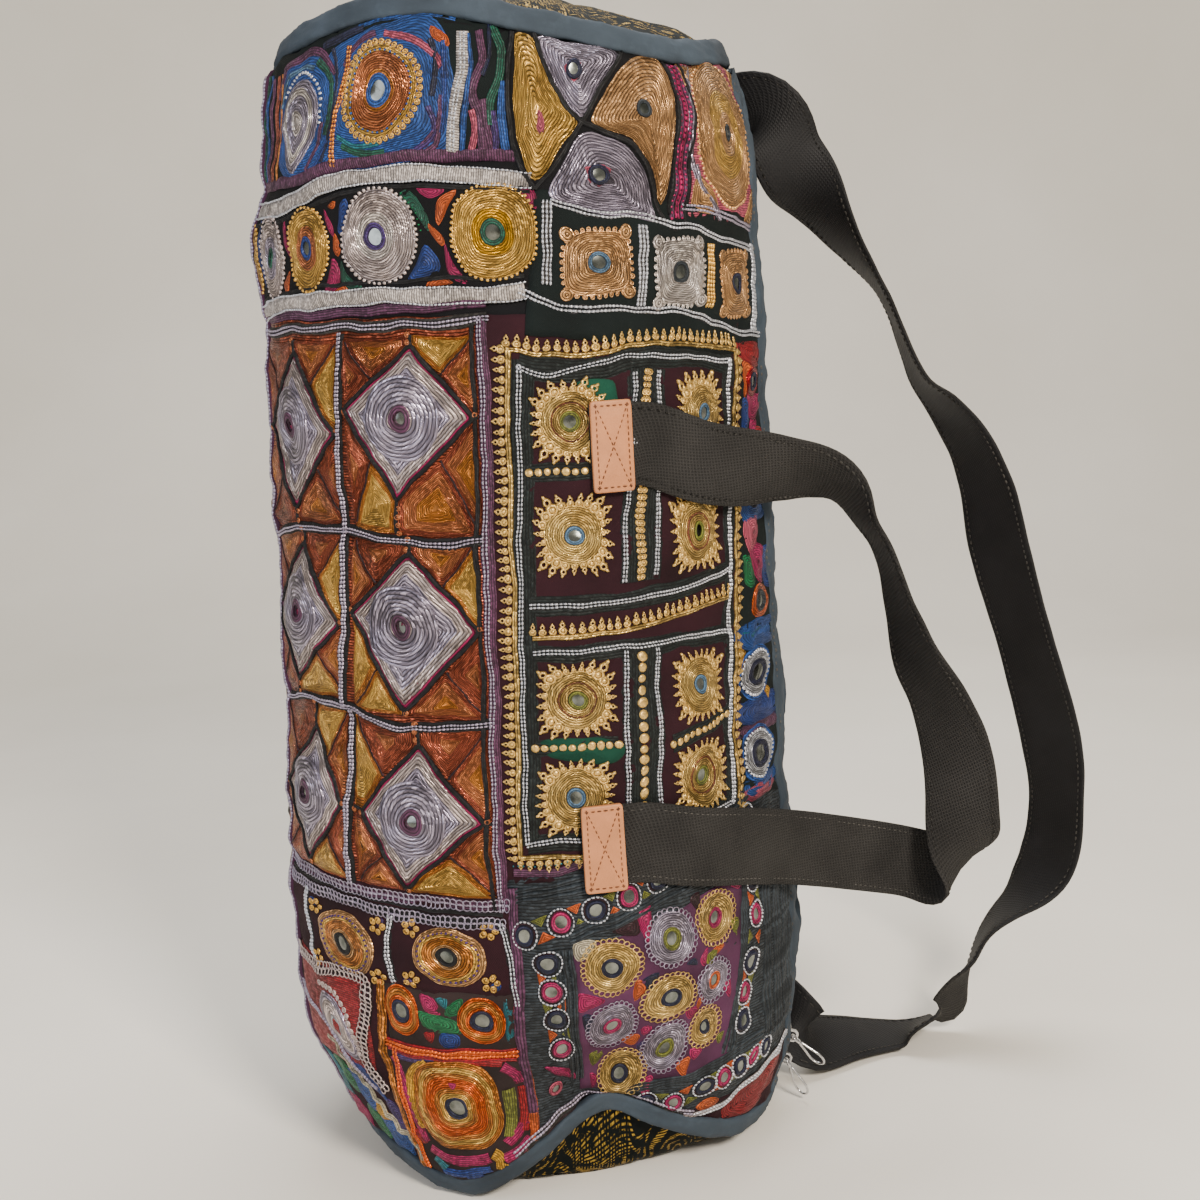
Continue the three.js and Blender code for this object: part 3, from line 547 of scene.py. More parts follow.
def brocade(name="brocade"):
    """Black-green cloth with gold scrolls and stripes in metal thread."""
    s = Shader(name)
    u, v = s.uv()
    place = s.joined(u, v)
    bend = s.node("ShaderNodeTexNoise", ("Vector", place), ("Scale", 0.05), ("Detail", 2.0)).outputs["Color"]
    bent = s.vector("ADD", place, s.vector("MULTIPLY", bend, (18.0, 18.0, 0.0)))
    scroll = s.range(s.waves(s.cells(0.045, bent, feature="F1"), 52.0), 0.35, 0.6)
    stripes = s.range(s.waves(s.plus(u, s.times(v, 0.15)), 4.2), 0.1, 0.4)
    figure = s.math("MAXIMUM", scroll, s.times(stripes, s.range(s.waves(u, 0.075), 0.45, 0.6)))
    ribs = s.range(s.waves(v, 9.5), -0.3, 0.6)
    gold = s.times(s.times(figure, ribs), s.range(s.noise(260.0, 2.0), 0.42, 0.56))
    colour = s.mix(gold, dimmed(tint("night"), 0.3), rgba(shade("#b9963a")))
    gloss = s.range(gold, 0.0, 1.0, 0.75, 0.34)
    raised = s.bump(gold, 0.3, 0.8)
    return s.finish(Base_Color=colour, Metallic=s.times(gold, 0.8), Roughness=gloss, Normal=raised,
                    Specular_IOR_Level=0.12)


def twill(name, colour, ribs, rough):
    """Woven webbing: ribs across it with a slant, with painted shade in the grooves between them; ribs is how
    deep they are.
    """
    s = Shader(name)
    u, v = s.uv()
    slant = s.math("SINE", s.plus(s.times(u, 3.3), s.times(v, 1.5)))
    yarn = s.waves(s.plus(s.times(u, 0.9), s.times(v, -4.2)), 1.0)
    weave = s.math("MAXIMUM", slant, s.times(yarn, 0.8))
    fade = s.range(s.noise(35.0, 6.0), 0.3, 0.7, 0.72, 1.28)
    # Random fading, and painted shade: the low parts of the weave are painted darker.
    lift = s.times(fade, s.range(weave, -0.8, 1.0, 1.0 - 0.45 * ribs, 1.0 + 0.3 * ribs))
    lint = s.range(s.noise(700.0, 2.0), 0.73, 0.8, 0.0, 0.35)
    tone = s.mix(lint, s.shaded(rgba(colour), lift), dimmed(colour, 4))
    raised = s.bump(weave, 0.28 * ribs + 0.05, 0.8, s.bump(s.noise(60.0, 4.0), 0.6, 0.4))
    return s.finish(Base_Color=tone, Roughness=rough, Normal=raised, Specular_IOR_Level=0.25)


def leather(name="tan leather"):
    """Smooth tan leather, rubbed lighter and stained darker."""
    s = Shader(name)
    tone = s.between(s.range(s.noise(55.0, 5.0), 0.3, 0.7), shade("#bd7b4e"), 0.78, 1.12)
    grain = s.plus(s.cells(1500.0, s.spot()), s.noise(300.0, 4.0))
    return s.finish(Base_Color=tone, Roughness=0.52, Normal=s.bump(grain, 0.12, 0.5))


def metal(name, colour, rough):
    """Plated metal with light wear."""
    s = Shader(name)
    wear = s.range(s.noise(300.0, 4.0), 0.35, 0.7, rough * 0.7, rough * 1.5)
    tone = s.between(s.noise(90.0, 3.0), colour, 0.8, 1)
    return s.finish(Base_Color=tone, Metallic=1.0, Roughness=wear)


def mirror_glass(name="mirror pieces"):
    """Small old mirrors, clouded at the back."""
    s = Shader(name)
    cloud = s.range(s.noise(120.0, 4.0), 0.35, 0.65)
    tone = s.mix(cloud, rgba(shade("#4f534e")), rgba(shade("#8d918c")))
    waves = s.bump(s.noise(70.0, 2.0), 0.8, 0.35)
    return s.finish(Base_Color=tone, Metallic=1.0, Roughness=0.2, Normal=waves)


def coil(name="zip coil"):
    """Black nylon of the coil and its tape."""
    s = Shader(name)
    tone = s.mix(s.noise(200.0, 3.0), rgba(shade("#131416")), rgba(shade("#2a2b2e")))
    return s.finish(Base_Color=tone, Roughness=0.5, Normal=s.bump(s.noise(1200.0, 2.0), 0.1, 0.6))


FINISHES = {
    "metal": lambda: stitched_cloth("metal thread", 0.75, 0.36, 0.55),
    "silk": lambda: stitched_cloth("silk thread", 0.0, 0.55, 0.4, 0.8, 0.25),
    "cord": lambda: stitched_cloth("outline thread", 0.0, 0.7, 0.5, 1.1, 0.3),
    "ground": lambda: plain_cloth("ground cloth"),
    "mirror": mirror_glass,
    "link": thread_links,
    "canvas": lambda: canvas("blue-grey canvas", shade("#343e48")),
    "brocade": brocade,
    "twill": lambda: twill("webbing face", shade("#262524"), 1.0, 0.9),
    "lining": lambda: twill("webbing back", shade("#151517"), 0.25, 0.62),
    "seam": lambda: canvas("seam thread", shade("#4a4845")),
    "leather": leather,
    "dark_seam": lambda: canvas("leather seam thread", shade("#5b3826")),
    "nickel": lambda: metal("nickel", shade("#d6d6d8"), 0.2),
    "coil": coil,
}
_made = {}


def finish(name):
    """A finish by its name, made once."""
    if name not in _made:
        _made[name] = FINISHES[name]()
    return _made[name]


# Meshes
def mesh_of(name, points, loops, totals, uv=None, colours=None):
    """A mesh from flat arrays of faces."""
    mesh = bpy.data.meshes.new(name)
    mesh.vertices.add(len(points))
    mesh.vertices.foreach_set("co", np.asarray(points, np.float32).ravel())
    mesh.loops.add(len(loops))
    mesh.loops.foreach_set("vertex_index", np.asarray(loops, np.int32))
    mesh.polygons.add(len(totals))
    starts = np.concatenate([[0], np.cumsum(totals)[:-1]])
    mesh.polygons.foreach_set("loop_start", starts.astype(np.int32))
    mesh.uv_layers.new(name="UVMap").data.foreach_set("uv", np.asarray(uv, np.float32).ravel())
    if colours is not None:
        layer = mesh.color_attributes.new("colour", "FLOAT_COLOR", "CORNER")
        full = np.concatenate([colours, np.ones((len(colours), 1))], 1)
        layer.data.foreach_set("color", full.astype(np.float32).ravel())
    mesh.update(calc_edges=True)
    mesh.shade_smooth()
    return mesh


def piece(name, mesh, finishes, replaces=(), body=BAG):
    """A finished piece of the bag, riding on its body."""
    thing = bpy.data.objects.new(name, mesh)
    bpy.context.scene.collection.objects.link(thing)
    mesh.materials.clear()
    for each in finishes:
        mesh.materials.append(finish(each))
    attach(thing, body)
    if replaces:
        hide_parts(*replaces)
    return thing


def quads(rows, columns, closed):
    """Corners of a grid's faces, the same in its UV grid, and the faces' rows."""
    i, j = np.meshgrid(np.arange(rows - 1), np.arange(columns if closed else columns - 1), indexing="ij")
    i, j = i.ravel(), j.ravel()
    corners = ((i, j), (i, j + 1), (i + 1, j + 1), (i + 1, j))
    loops = np.stack([a * columns + b % columns for a, b in corners], 1)
    wide = columns + 1 if closed else columns
    spots = np.stack([a * wide + b for a, b in corners], 1)
    return loops, spots, i


def grid_mesh(name, points, uv, closed=False, flip=False, caps=False, ring=False):
    """A mesh over a grid of points: closed joins each row's ends, ring the last row and the first."""
    rows, columns = points.shape[:2]
    loops, spots, _ = quads(rows + ring, columns, closed)
    loops = loops % (rows * columns)
    if flip:
        loops, spots = loops[:, ::-1], spots[:, ::-1]
    corners, spots, totals = loops.ravel(), spots.ravel(), np.full(len(loops), 4)
    if caps:
        line = np.arange(columns)
        ends = ((0, line), (rows - 1, line[::-1])) if flip else ((rows - 1, line), (0, line[::-1]))
        corners = np.concatenate([corners, *(row * columns + at for row, at in ends)])
        spots = np.concatenate([spots, *(row * uv.shape[1] + at for row, at in ends)])
        totals = np.append(totals, [columns, columns])
    return mesh_of(name, points.reshape(-1, 3), corners, totals, uv.reshape(-1, 2)[spots])


def laid(surface, grid):
    """A grid of flat points laid on a surface."""
    return surface.wrap(grid.reshape(-1, 3)).reshape(grid.shape)


def layers(flat, rise):
    """A flat grid with a height for each of its rows."""
    rise = np.broadcast_to(np.asarray(rise, float)[:, None], flat.shape[:2])
    return np.dstack([flat, rise])


def ringed(grid):
    """A grid with its first column again after its last."""
    return np.pad(grid, ((0, 0), (0, 1), (0, 0)), mode="wrap")


class Needlework:
    """Shapes charted flat, gathered by finish, and rows of single stitches, gathered by kind."""

    def __init__(self):
        self.shapes = {}
        self.rows = {}

    def add(self, finish_name, points, loops, totals, uv, colours):
        self.shapes.setdefault(finish_name, []).append((points, loops, totals, uv, colours))

    def sheet(self, finish_name, grid, uv, colour, closed=False, cap=False):
        """A grid of points; colour is one colour or one for each row of faces."""
        rows, columns = grid.shape[:2]
        loops, spots, row = quads(rows, columns, closed)
        colour = np.atleast_2d(np.asarray(colour, float))
        tones = colour[np.minimum(row, len(colour) - 1)]
        flat_uv = uv.reshape(-1, 2)[spots].reshape(-1, 2)
        flat_loops, totals, tones = loops.ravel(), np.full(len(loops), 4), np.repeat(tones, 4, 0)
        if cap:
            inner = (rows - 1) * columns + np.arange(columns)
            flat_loops = np.concatenate([flat_loops, inner])
            totals = np.append(totals, columns)
            flat_uv = np.vstack([flat_uv, uv[-1, :columns]])
            tones = np.vstack([tones, np.repeat(colour[-1:], columns, 0)])
        self.add(finish_name, grid.reshape(-1, 3), flat_loops, totals, flat_uv, tones)

    def ground(self, corners, colour, out=0.25, finish_name="ground", cell=4.0):
        """A four-cornered patch of cloth, from its lower left corner counterclockwise."""
        a, b, c, d = places(corners)
        across = max(2, round(max(np.linalg.norm(b - a), np.linalg.norm(c - d)) / cell))
        up = max(2, round(max(np.linalg.norm(d - a), np.linalg.norm(c - b)) / cell))
        s, t = np.meshgrid(np.linspace(0, 1, across + 1), np.linspace(0, 1, up + 1))
        s, t = s[..., None], t[..., None]
        flat = a * (1 - s) * (1 - t) + b * s * (1 - t) + c * s * t + d * (1 - s) * t
        flat = np.pad(flat, ((1, 1), (1, 1), (0, 0)), mode="edge")
        height = np.full(flat.shape[:2], out)
        height[0], height[-1], height[:, 0], height[:, -1] = -0.7, -0.7, -0.7, -0.7
        self.sheet(finish_name, np.dstack([flat, height]), flat, tint(colour))

    def pad(self, outline, colours, height=1.0, finish_name="silk", hole=0.0, rows=4, centre=None, fine=1.0):
        """A filled shape with rows of stitches that follow its outline; hole is the share left open."""
        outline = places(outline)
        middle = outline.mean(0) if centre is None else np.array(centre, float)
        size = np.linalg.norm(outline - middle, axis=1).mean()
        rows = max(rows, round(size / 3.5))
        edge = max(0.5, 1 - 0.45 / size)
        shares = np.concatenate([[1.0, edge], np.linspace(edge, max(hole, 0.1), rows + 1)[1:]])
        rise = np.concatenate([[-0.6, 0.72 * height], height * np.linspace(0.86, 1.0, rows)])
        flat = middle + (outline - middle) * shares[:, None, None]
        grid = layers(flat, rise)
        ring = np.vstack([outline, outline[:1]])
        length = np.concatenate([[0], np.cumsum(np.linalg.norm(np.diff(ring, axis=0), axis=1))])
        uv = np.stack(np.broadcast_arrays(shares[:, None] * length, (1 - shares[:, None]) * size), -1) / fine
        if isinstance(colours, str):
            colours = (colours,)
        steps = np.linspace(0, len(colours), len(shares) - 1, endpoint=False).astype(int)
        self.sheet(finish_name, grid, uv, [tint(colours[k]) for k in steps], True, hole == 0)

    def line(self, path, width, colour, finish_name="cord", height=0.9, closed=False, smooth=True, step=3.0,
             crossed=False):
        """A raised line of stitches along a path."""
        path = through(path, step, closed) if smooth else evenly(path, step, closed)
        side = sideways(path, closed)
        across = np.array([-0.5, -0.4, -0.15, 0.15, 0.4, 0.5]) * width
        rise = np.array([-0.6, 0.6, 1.0, 1.0, 0.6, -0.6]) * height
        rise[[0, -1]] = -0.6
        flat = path + side * across[:, None, None]
        grid = layers(flat, rise)
        count = len(path) + (1 if closed else 0)
        uv = np.stack(np.broadcast_arrays(np.arange(count) * step, across[:, None]), -1)
        self.sheet(finish_name, grid, uv[..., ::-1] if crossed else uv, tint(colour), closed)

    def row(self, kind, path, colour, size=1.0, out=0.6, closed=False, aside=0.0, sizes=None):
        """Single stitches along a path, moved aside to its left."""
        path = places(path)
        if aside:
            path = path + sideways(path, closed) * aside
        sizes = np.full(len(path), size) if sizes is None else sizes
        points = np.column_stack([path, np.full(len(path), out)])
        self.rows.setdefault(kind, []).append((points, tint(colour), sizes, closed))

    def chain(self, path, colour="bright", rows=2, size=1.0, out=0.9, closed=False, smooth=True):
        """Rows of chain stitch side by side."""
        path = through(path, 3.0, closed) if smooth else evenly(path, 3.0, closed)
        for k in range(rows):
            self.row("chain", path, colour, size, out, closed, (k - (rows - 1) / 2) * 1.6 * size)

    def eye(self, x, y, rx, ry=None, ring="navy", width=0.32, turn=0.0, glass=True, lift=0.0):
        """A round mirror held by a ring of stitches."""
        ry = ry or rx
        shares = np.array([1.0, 0.96, 1 - width / 2, 1.02 - width, 0.98 - width])
        rise = np.array([-0.4, 1.35 + lift, 1.75 + lift, 1.3 + lift, 0.7 + lift])
        outline = ellipse(0, 0, rx, ry, turn, 20)
        flat = np.array([x, y]) + outline * shares[:, None, None]
        grid = layers(flat, rise)
        length = np.linspace(0, 2 * math.pi * (rx + ry) / 2, 21)
        uv = np.stack(np.broadcast_arrays(length, shares[:, None] * rx), -1)
        self.sheet("silk", grid, uv, tint(ring), True)
        disc = np.array([x, y]) + outline * np.array([1.02 - width, 0.4 - 0.4 * width])[:, None, None]
        grid = layers(disc, np.array([0.85, 0.98]) + lift)
        self.sheet("mirror" if glass else "silk", grid, ringed(disc), tint("steel"), True, True)

    def medallion(self, x, y, rx, ry, colours, ring="navy", eye=0.3, edge=None, turn=0.0, square=2.0,
                  height=1.3, glass=True, fine=0.75):
        """A round of metal thread about a mirror, with loops or knots round its edge."""
        outline = ellipse(x, y, rx, ry, turn, 44, square)
        self.pad(outline, colours, height, "metal", 0.8 * eye, 5, (x, y), fine)
        self.eye(x, y, eye * rx, eye * ry, ring, 0.42, turn, glass)
        colour = colours if isinstance(colours, str) else colours[0]
        if edge:
            rim = ellipse(x, y, rx - 0.4, ry - 0.4, turn, 44, square)
            self.row(edge, rim, colour, 1.0, 0.7, True)

    def sun(self, x, y, radius, half, ring, colours="pale_gold", tall=None):
        """A sun in a square: a round with rays that are longer towards the corners."""
        tall = tall or half
        self.medallion(x, y, radius, radius, colours, ring, 0.34)
        t = np.linspace(0, 2 * math.pi, 44, endpoint=False)
        c, s = np.maximum(np.abs(np.cos(t)), 1e-3), np.maximum(np.abs(np.sin(t)), 1e-3)
        reach = np.minimum(half / c, tall / s) - radius
        sizes = np.clip(reach / RAY_LENGTH, 0.7, 1.75)
        name = colours if isinstance(colours, str) else colours[0]
        self.row("ray", ellipse(x, y, radius - 0.6, radius - 0.6), name, 1.0, 0.7, True, 0, sizes)

    def scraps(self, chart, height=0.8, grow=1.2):
        """Small charted shapes filled in silk, each grown about its middle."""
        for colour, outline in charted(chart):
            middle = outline.mean(0)
            self.pad(through(middle + (outline - middle) * grow, 2.0, True), colour, height, "silk", 0, 2)

    def repeat(self, move, window):
        """Copies of everything charted, moved, where they fall between two places round the bag."""
        low, high = window
        for finish_name, shapes in list(self.shapes.items()):
            fresh = []
            for points, loops, totals, uv, colours in shapes:
                moved = points.copy()
                moved[:, :2] = move(points[:, :2])
                near = low - 2 < moved[:, 0].mean() < high + 2 or finish_name == "ground"
                if near and moved[:, 0].max() > low and moved[:, 0].min() < high:
                    moved[:, 0] = np.clip(moved[:, 0], low, high)
                    fresh.append((moved, loops, totals, uv, colours))
            shapes += fresh
        for rows in self.rows.values():
            fresh = []
            for points, colour, sizes, closed in rows:
                moved = points.copy()
                moved[:, :2] = move(points[:, :2])
                inside = (moved[:, 0] > low) & (moved[:, 0] < high)
                if inside.sum() > 2:
                    fresh.append((moved[inside], colour, sizes[inside], closed and inside.all()))
            rows += fresh

    def meshes(self, surface, keep, ends):
        """A wrapped mesh for each finish: keep says which points stay, ends where the facings press them."""
        for finish_name, shapes in self.shapes.items():
            points, loops, totals, uv, colours = zip(*shapes)
            firsts = np.cumsum([0, *map(len, points)])
            loops = [corners + first for corners, first in zip(loops, firsts)]
            points, loops, totals, uv, colours = map(np.concatenate, (points, loops, totals, uv, colours))
            points = surface.uneven(points)
            inside = keep(points)[loops]
            starts = np.concatenate([[0], np.cumsum(totals)[:-1]])
            kept = np.add.reduceat(inside.astype(int), starts) > 0
            corner = np.repeat(kept, totals)
            loops, uv, colours, totals = loops[corner], uv[corner], colours[corner], totals[kept]
            used, loops = np.unique(loops, return_inverse=True)
            points = points[used]
            pressed = (points[:, 0] < ends[0]) | (points[:, 0] > ends[1])
            points[:, 0] = np.clip(points[:, 0], *ends)
            points[pressed, 2] = np.minimum(points[pressed, 2], -0.3)
            yield finish_name, mesh_of(finish_name, surface.wrap(points), loops, totals, uv, colours)


RAY_LENGTH = 5.2

# Colours of the stitches that hold the pieces
SEAM_TONES = {
    "webbing": (0.1, 0.09, 0.08),
    "coil": (0.02, 0.02, 0.02),
    "facing": (0.2, 0.22, 0.25),
    "leather": (0.1, 0.06, 0.04),
}


def seam_row(path, out, tone, size=1.0):
    """A row of seam stitches along a flat path, at one height."""
    return np.column_stack([path, np.full(len(path), out)]), SEAM_TONES[tone], np.full(len(path), size), False


# Single stitches, flat, with X along the row and -Y away from it
def stitch_mesh(name, parts):
    """A mesh from tubes bent into rings and from domes."""
    points, faces = [], []
    for kind, values in parts:
        base = len(points)
        if kind == "ring":
            x, y, rx, ry, wire, around, sides = values
            for i in range(around):
                t = 2 * math.pi * i / around
                for k in range(sides):
                    w = 2 * math.pi * k / sides
                    reach = 1 + wire * math.cos(w) / min(rx, ry)
                    flat = (x + rx * reach * math.cos(t), y + ry * reach * math.sin(t))
                    points.append((*flat, wire * math.sin(w)))
            for i in range(around):
                for k in range(sides):
                    n, m = (i + 1) % around, (k + 1) % sides
                    corners = (i * sides + k, n * sides + k, n * sides + m, i * sides + m)
                    faces.append([base + q for q in corners])
        else:
            x, y, rx, ry, rise, around, tiers = values
            for j in range(tiers):
                share = math.cos(0.5 * math.pi * j / tiers)
                level = rise * math.sin(0.5 * math.pi * j / tiers) - (0.5 if j == 0 else 0)
                for i in range(around):
                    t = 2 * math.pi * i / around
                    points.append((x + rx * share * math.cos(t), y + ry * share * math.sin(t), level))
            for j in range(tiers - 1):
                for i in range(around):
                    n = (i + 1) % around
                    row, above = j * around, (j + 1) * around
                    faces.append([base + q for q in (row + i, row + n, above + n, above + i)])
            faces.append([base + (tiers - 1) * around + i for i in range(around)])
    mesh = bpy.data.meshes.new(name)
    mesh.from_pydata(points, [], faces)
    mesh.shade_smooth()
    return mesh


# Kinds of single stitch: spacing and parts
STITCHES = {
    "chain": (1.9, [("dome", (0, 0, 1.15, 0.62, 0.5, 5, 2))]),
    "loop": (3.0, [("ring", (0, -0.9, 1.15, 1.3, 0.45, 7, 3)), ("dome", (0, -0.7, 0.9, 0.9, 0.2, 5, 2))]),
    "link": (2.7, [("ring", (0, 0, 1.45, 1.5, 0.32, 8, 3))]),
    "knot": (2.5, [("dome", (0, -0.5, 1.0, 1.0, 0.8, 5, 2))]),
    "ray": (3.7, [
        ("ring", (0, -1.0, 1.35, 1.3, 0.55, 7, 3)),
        ("dome", (0, -1.0, 1.2, 1.2, 0.45, 5, 2)),
        ("ring", (0, -3.2, 0.85, 0.9, 0.5, 6, 3)),
        ("dome", (0, -4.6, 0.55, 0.9, 0.6, 5, 2)),
    ]),
    "tooth": (4.4, [
        ("ring", (0, -1.6, 1.45, 1.25, 0.55, 8, 3)),
        ("dome", (0, -1.6, 1.2, 1.1, 0.4, 5, 2)),
        ("ring", (0, -3.9, 0.85, 0.9, 0.5, 6, 3)),
        ("dome", (0, -5.2, 0.5, 0.7, 0.6, 5, 2)),
    ]),
    "bead": (5.3, [
        ("dome", (0, 0, 2.6, 2.6, 0.8, 10, 3)),
        ("ring", (0, 0, 1.9, 1.9, 0.5, 10, 3)),
        ("ring", (0, 0, 0.9, 0.9, 0.6, 8, 3)),
    ]),
    "small_bead": (4.1, [("dome", (0, 0, 2.0, 2.0, 0.8, 9, 3)), ("ring", (0, 0, 1.2, 1.2, 0.55, 8, 3))]),
    "seam": (3.4, [("dome", (0, 0, 1.2, 0.34, 0.3, 5, 2))]),
    "zip_tooth": (1.5, [("dome", (0, 0, 0.55, 1.5, 0.9, 8, 3))]),
}


def row_tree():
    """Geometry nodes that set a stitch along every row, turned to follow it."""
    tree = bpy.data.node_groups.new("Rows of stitches", "GeometryNodeTree")
    sockets = (
        ("Rows", "NodeSocketGeometry"),
        ("Stitch", "NodeSocketObject"),
        ("Spacing", "NodeSocketFloat"),
        ("Unevenness", "NodeSocketFloat"),
        ("Seed", "NodeSocketInt"),
        ("Finish", "NodeSocketMaterial"),
    )
    for name, kind in sockets:
        tree.interface.new_socket(name, in_out="INPUT", socket_type=kind)
    tree.interface.new_socket("Stitches", in_out="OUTPUT", socket_type="NodeSocketGeometry")
    node = tree.nodes.new
    link = tree.links.new
    entry, result = node("NodeGroupInput"), node("NodeGroupOutput")
    curve = node("GeometryNodeMeshToCurve")
    points = node("GeometryNodeCurveToPoints")
    points.mode = "LENGTH"
    source = node("GeometryNodeObjectInfo")
    turned = node("FunctionNodeAlignRotationToVector")
    turned.axis, turned.pivot_axis = "X", "Z"
    size = node("GeometryNodeInputNamedAttribute")
    size.data_type = "FLOAT"
    size.inputs["Name"].default_value = "size"
    low, high, vary = node("ShaderNodeMath"), node("ShaderNodeMath"), node("FunctionNodeRandomValue")
    low.operation, high.operation = "SUBTRACT", "ADD"
    low.inputs[0].default_value = high.inputs[0].default_value = 1.0
    scale = node("ShaderNodeMath")
    scale.operation = "MULTIPLY"
    placed = node("GeometryNodeInstanceOnPoints")
    real = node("GeometryNodeRealizeInstances")
    dressed = node("GeometryNodeSetMaterial")
    link(entry.outputs["Rows"], curve.inputs["Mesh"])
    link(curve.outputs["Curve"], points.inputs["Curve"])
    link(entry.outputs["Spacing"], points.inputs["Length"])
    link(entry.outputs["Stitch"], source.inputs["Object"])
    link(points.outputs["Tangent"], turned.inputs["Vector"])
    link(entry.outputs["Unevenness"], low.inputs[1])
    link(entry.outputs["Unevenness"], high.inputs[1])
    link(low.outputs[0], vary.inputs[2])
    link(high.outputs[0], vary.inputs[3])
    link(entry.outputs["Seed"], vary.inputs["Seed"])
    link(size.outputs["Attribute"], scale.inputs[0])
    link(vary.outputs[1], scale.inputs[1])
    link(points.outputs["Points"], placed.inputs["Points"])
    link(source.outputs["Geometry"], placed.inputs["Instance"])
    link(turned.outputs["Rotation"], placed.inputs["Rotation"])
    link(scale.outputs[0], placed.inputs["Scale"])
    link(placed.outputs["Instances"], real.inputs["Geometry"])
    link(real.outputs["Geometry"], dressed.inputs["Geometry"])
    link(entry.outputs["Finish"], dressed.inputs["Material"])
    link(dressed.outputs["Geometry"], result.inputs["Stitches"])
    return tree


def sewn_rows(name, kind, rows, surface, finish_name, keep=None, spacing=None, replaces=()):
    """Rows of one kind of stitch as one piece, wrapped on its surface."""
    cloth = settings()[0]
    points, edges, colours, sizes = [], [], [], []
    for path, colour, scale, closed in rows:
        base, count = len(points), len(path)
        points += [tuple(p) for p in path]
        edges += [(base + k, base + (k + 1) % count) for k in range(count if closed else count - 1)]
        colours += [(*colour, 1.0)] * count
        sizes += list(scale)
    mesh = bpy.data.meshes.new(name)
    mesh.from_pydata(points, edges, [])
    mesh.attributes.new("colour", "FLOAT_COLOR", "POINT").data.foreach_set("color", np.array(colours).ravel())
    mesh.attributes.new("size", "FLOAT", "POINT").data.foreach_set("value", np.array(sizes, np.float32))
    pitch, parts = STITCHES[kind]
    single = bpy.data.objects.new(kind, stitch_mesh(kind, parts))
    source = bpy.data.objects.new(name, mesh)
    for thing in (single, source):
        bpy.context.scene.collection.objects.link(thing)
    rule = source.modifiers.new("Rows", "NODES")
    rule.node_group = bpy.data.node_groups.get("Rows of stitches") or row_tree()
    values = {"Stitch": single, "Spacing": spacing or pitch, "Unevenness": 0.1, "Seed": cloth.seed,
              "Finish": finish(finish_name)}
    for socket in rule.node_group.interface.items_tree:
        if socket.name in values:
            rule[socket.identifier] = values[socket.name]
    bpy.context.view_layer.update()
    made = bpy.data.meshes.new_from_object(source.evaluated_get(bpy.context.evaluated_depsgraph_get()))
    for thing in (source, single):
        bpy.data.objects.remove(thing)
    flat = np.empty(len(made.vertices) * 3, np.float32)
    made.vertices.foreach_get("co", flat)
    flat = flat.reshape(-1, 3).astype(float)
    if keep is not None:
        flat = surface.uneven(flat)
        inside = keep(flat)
        solid = bmesh.new()
        solid.from_mesh(made)
        solid.verts.ensure_lookup_table()
        bmesh.ops.delete(solid, geom=[solid.verts[k] for k in np.flatnonzero(~inside)], context="VERTS")
        solid.to_mesh(made)
        solid.free()
        flat = flat[inside]
    made.vertices.foreach_set("co", surface.wrap(flat).astype(np.float32).ravel())
    made.update()
    made.name = name
    return piece(name, made, [finish_name], replaces)


# The chart: needlework on the front of the bag, in millimetres round it and up it
# Silk lines round the blue medallions: thread, width and path
BLUE_ARCS = """
plum 4.5 -126,535 -120,546 -104,551 -88,550 -78,540
steel 3 -121,530 -117,541 -104,546 -91,544
green 4.5 -90,547 -82,540 -79,527 -82,514
plum 4.5 -73,543 -66,551 -54,555
pink 4.5 -50,555 -38,552 -28,545 -22,538
green 4.5 -72,508 -62,505 -50,504
violet 4 -29,522 -27,510 -36,503
plum 3.6 -24,520 -26,506 -32,502
royal 4 -22,548 -21,530 -24,510
blue 3.4 -11,552 -10,535 -14,510 -16,501
plum 5 -5,553 -4,540 -9,527 -6,516 -5,501
green 5 2,555 6,545 4,533 -1,522 -1,512
pink 4 -9,519 -8,510 -11,501
violet 3.6 0,518 1,508 0,500
blue 4 5,530 4,515 5,500
navy 4 -28,550 -25,538 -27,526
navy 4 -88,553 -76,556 -62,559
plum 3 -33,505 -26,513 -23,526
teal 3.4 -74,512 -64,508 -52,508
navy 3.4 -80,552 -77,538 -78,522 -84,502
plum 3.4 -96,500 -88,508 -84,520
royal 3.4 -92,498 -86,503 -81,512
plum 4 -1,500 -3,512 -4,523
navy 3 1,556 0,544 -4,533
blue 6 -66,561 -42,564 -16,560
amber 2.6 -124,545 -121,520 -126,497
rust 4 -130,545 -127,520 -133,497
plum 4 -137,545 -134,520 -140,497
blue 5 -145,548 -142,520 -148,497
green 4 -152,548 -150,520 -155,497
"""


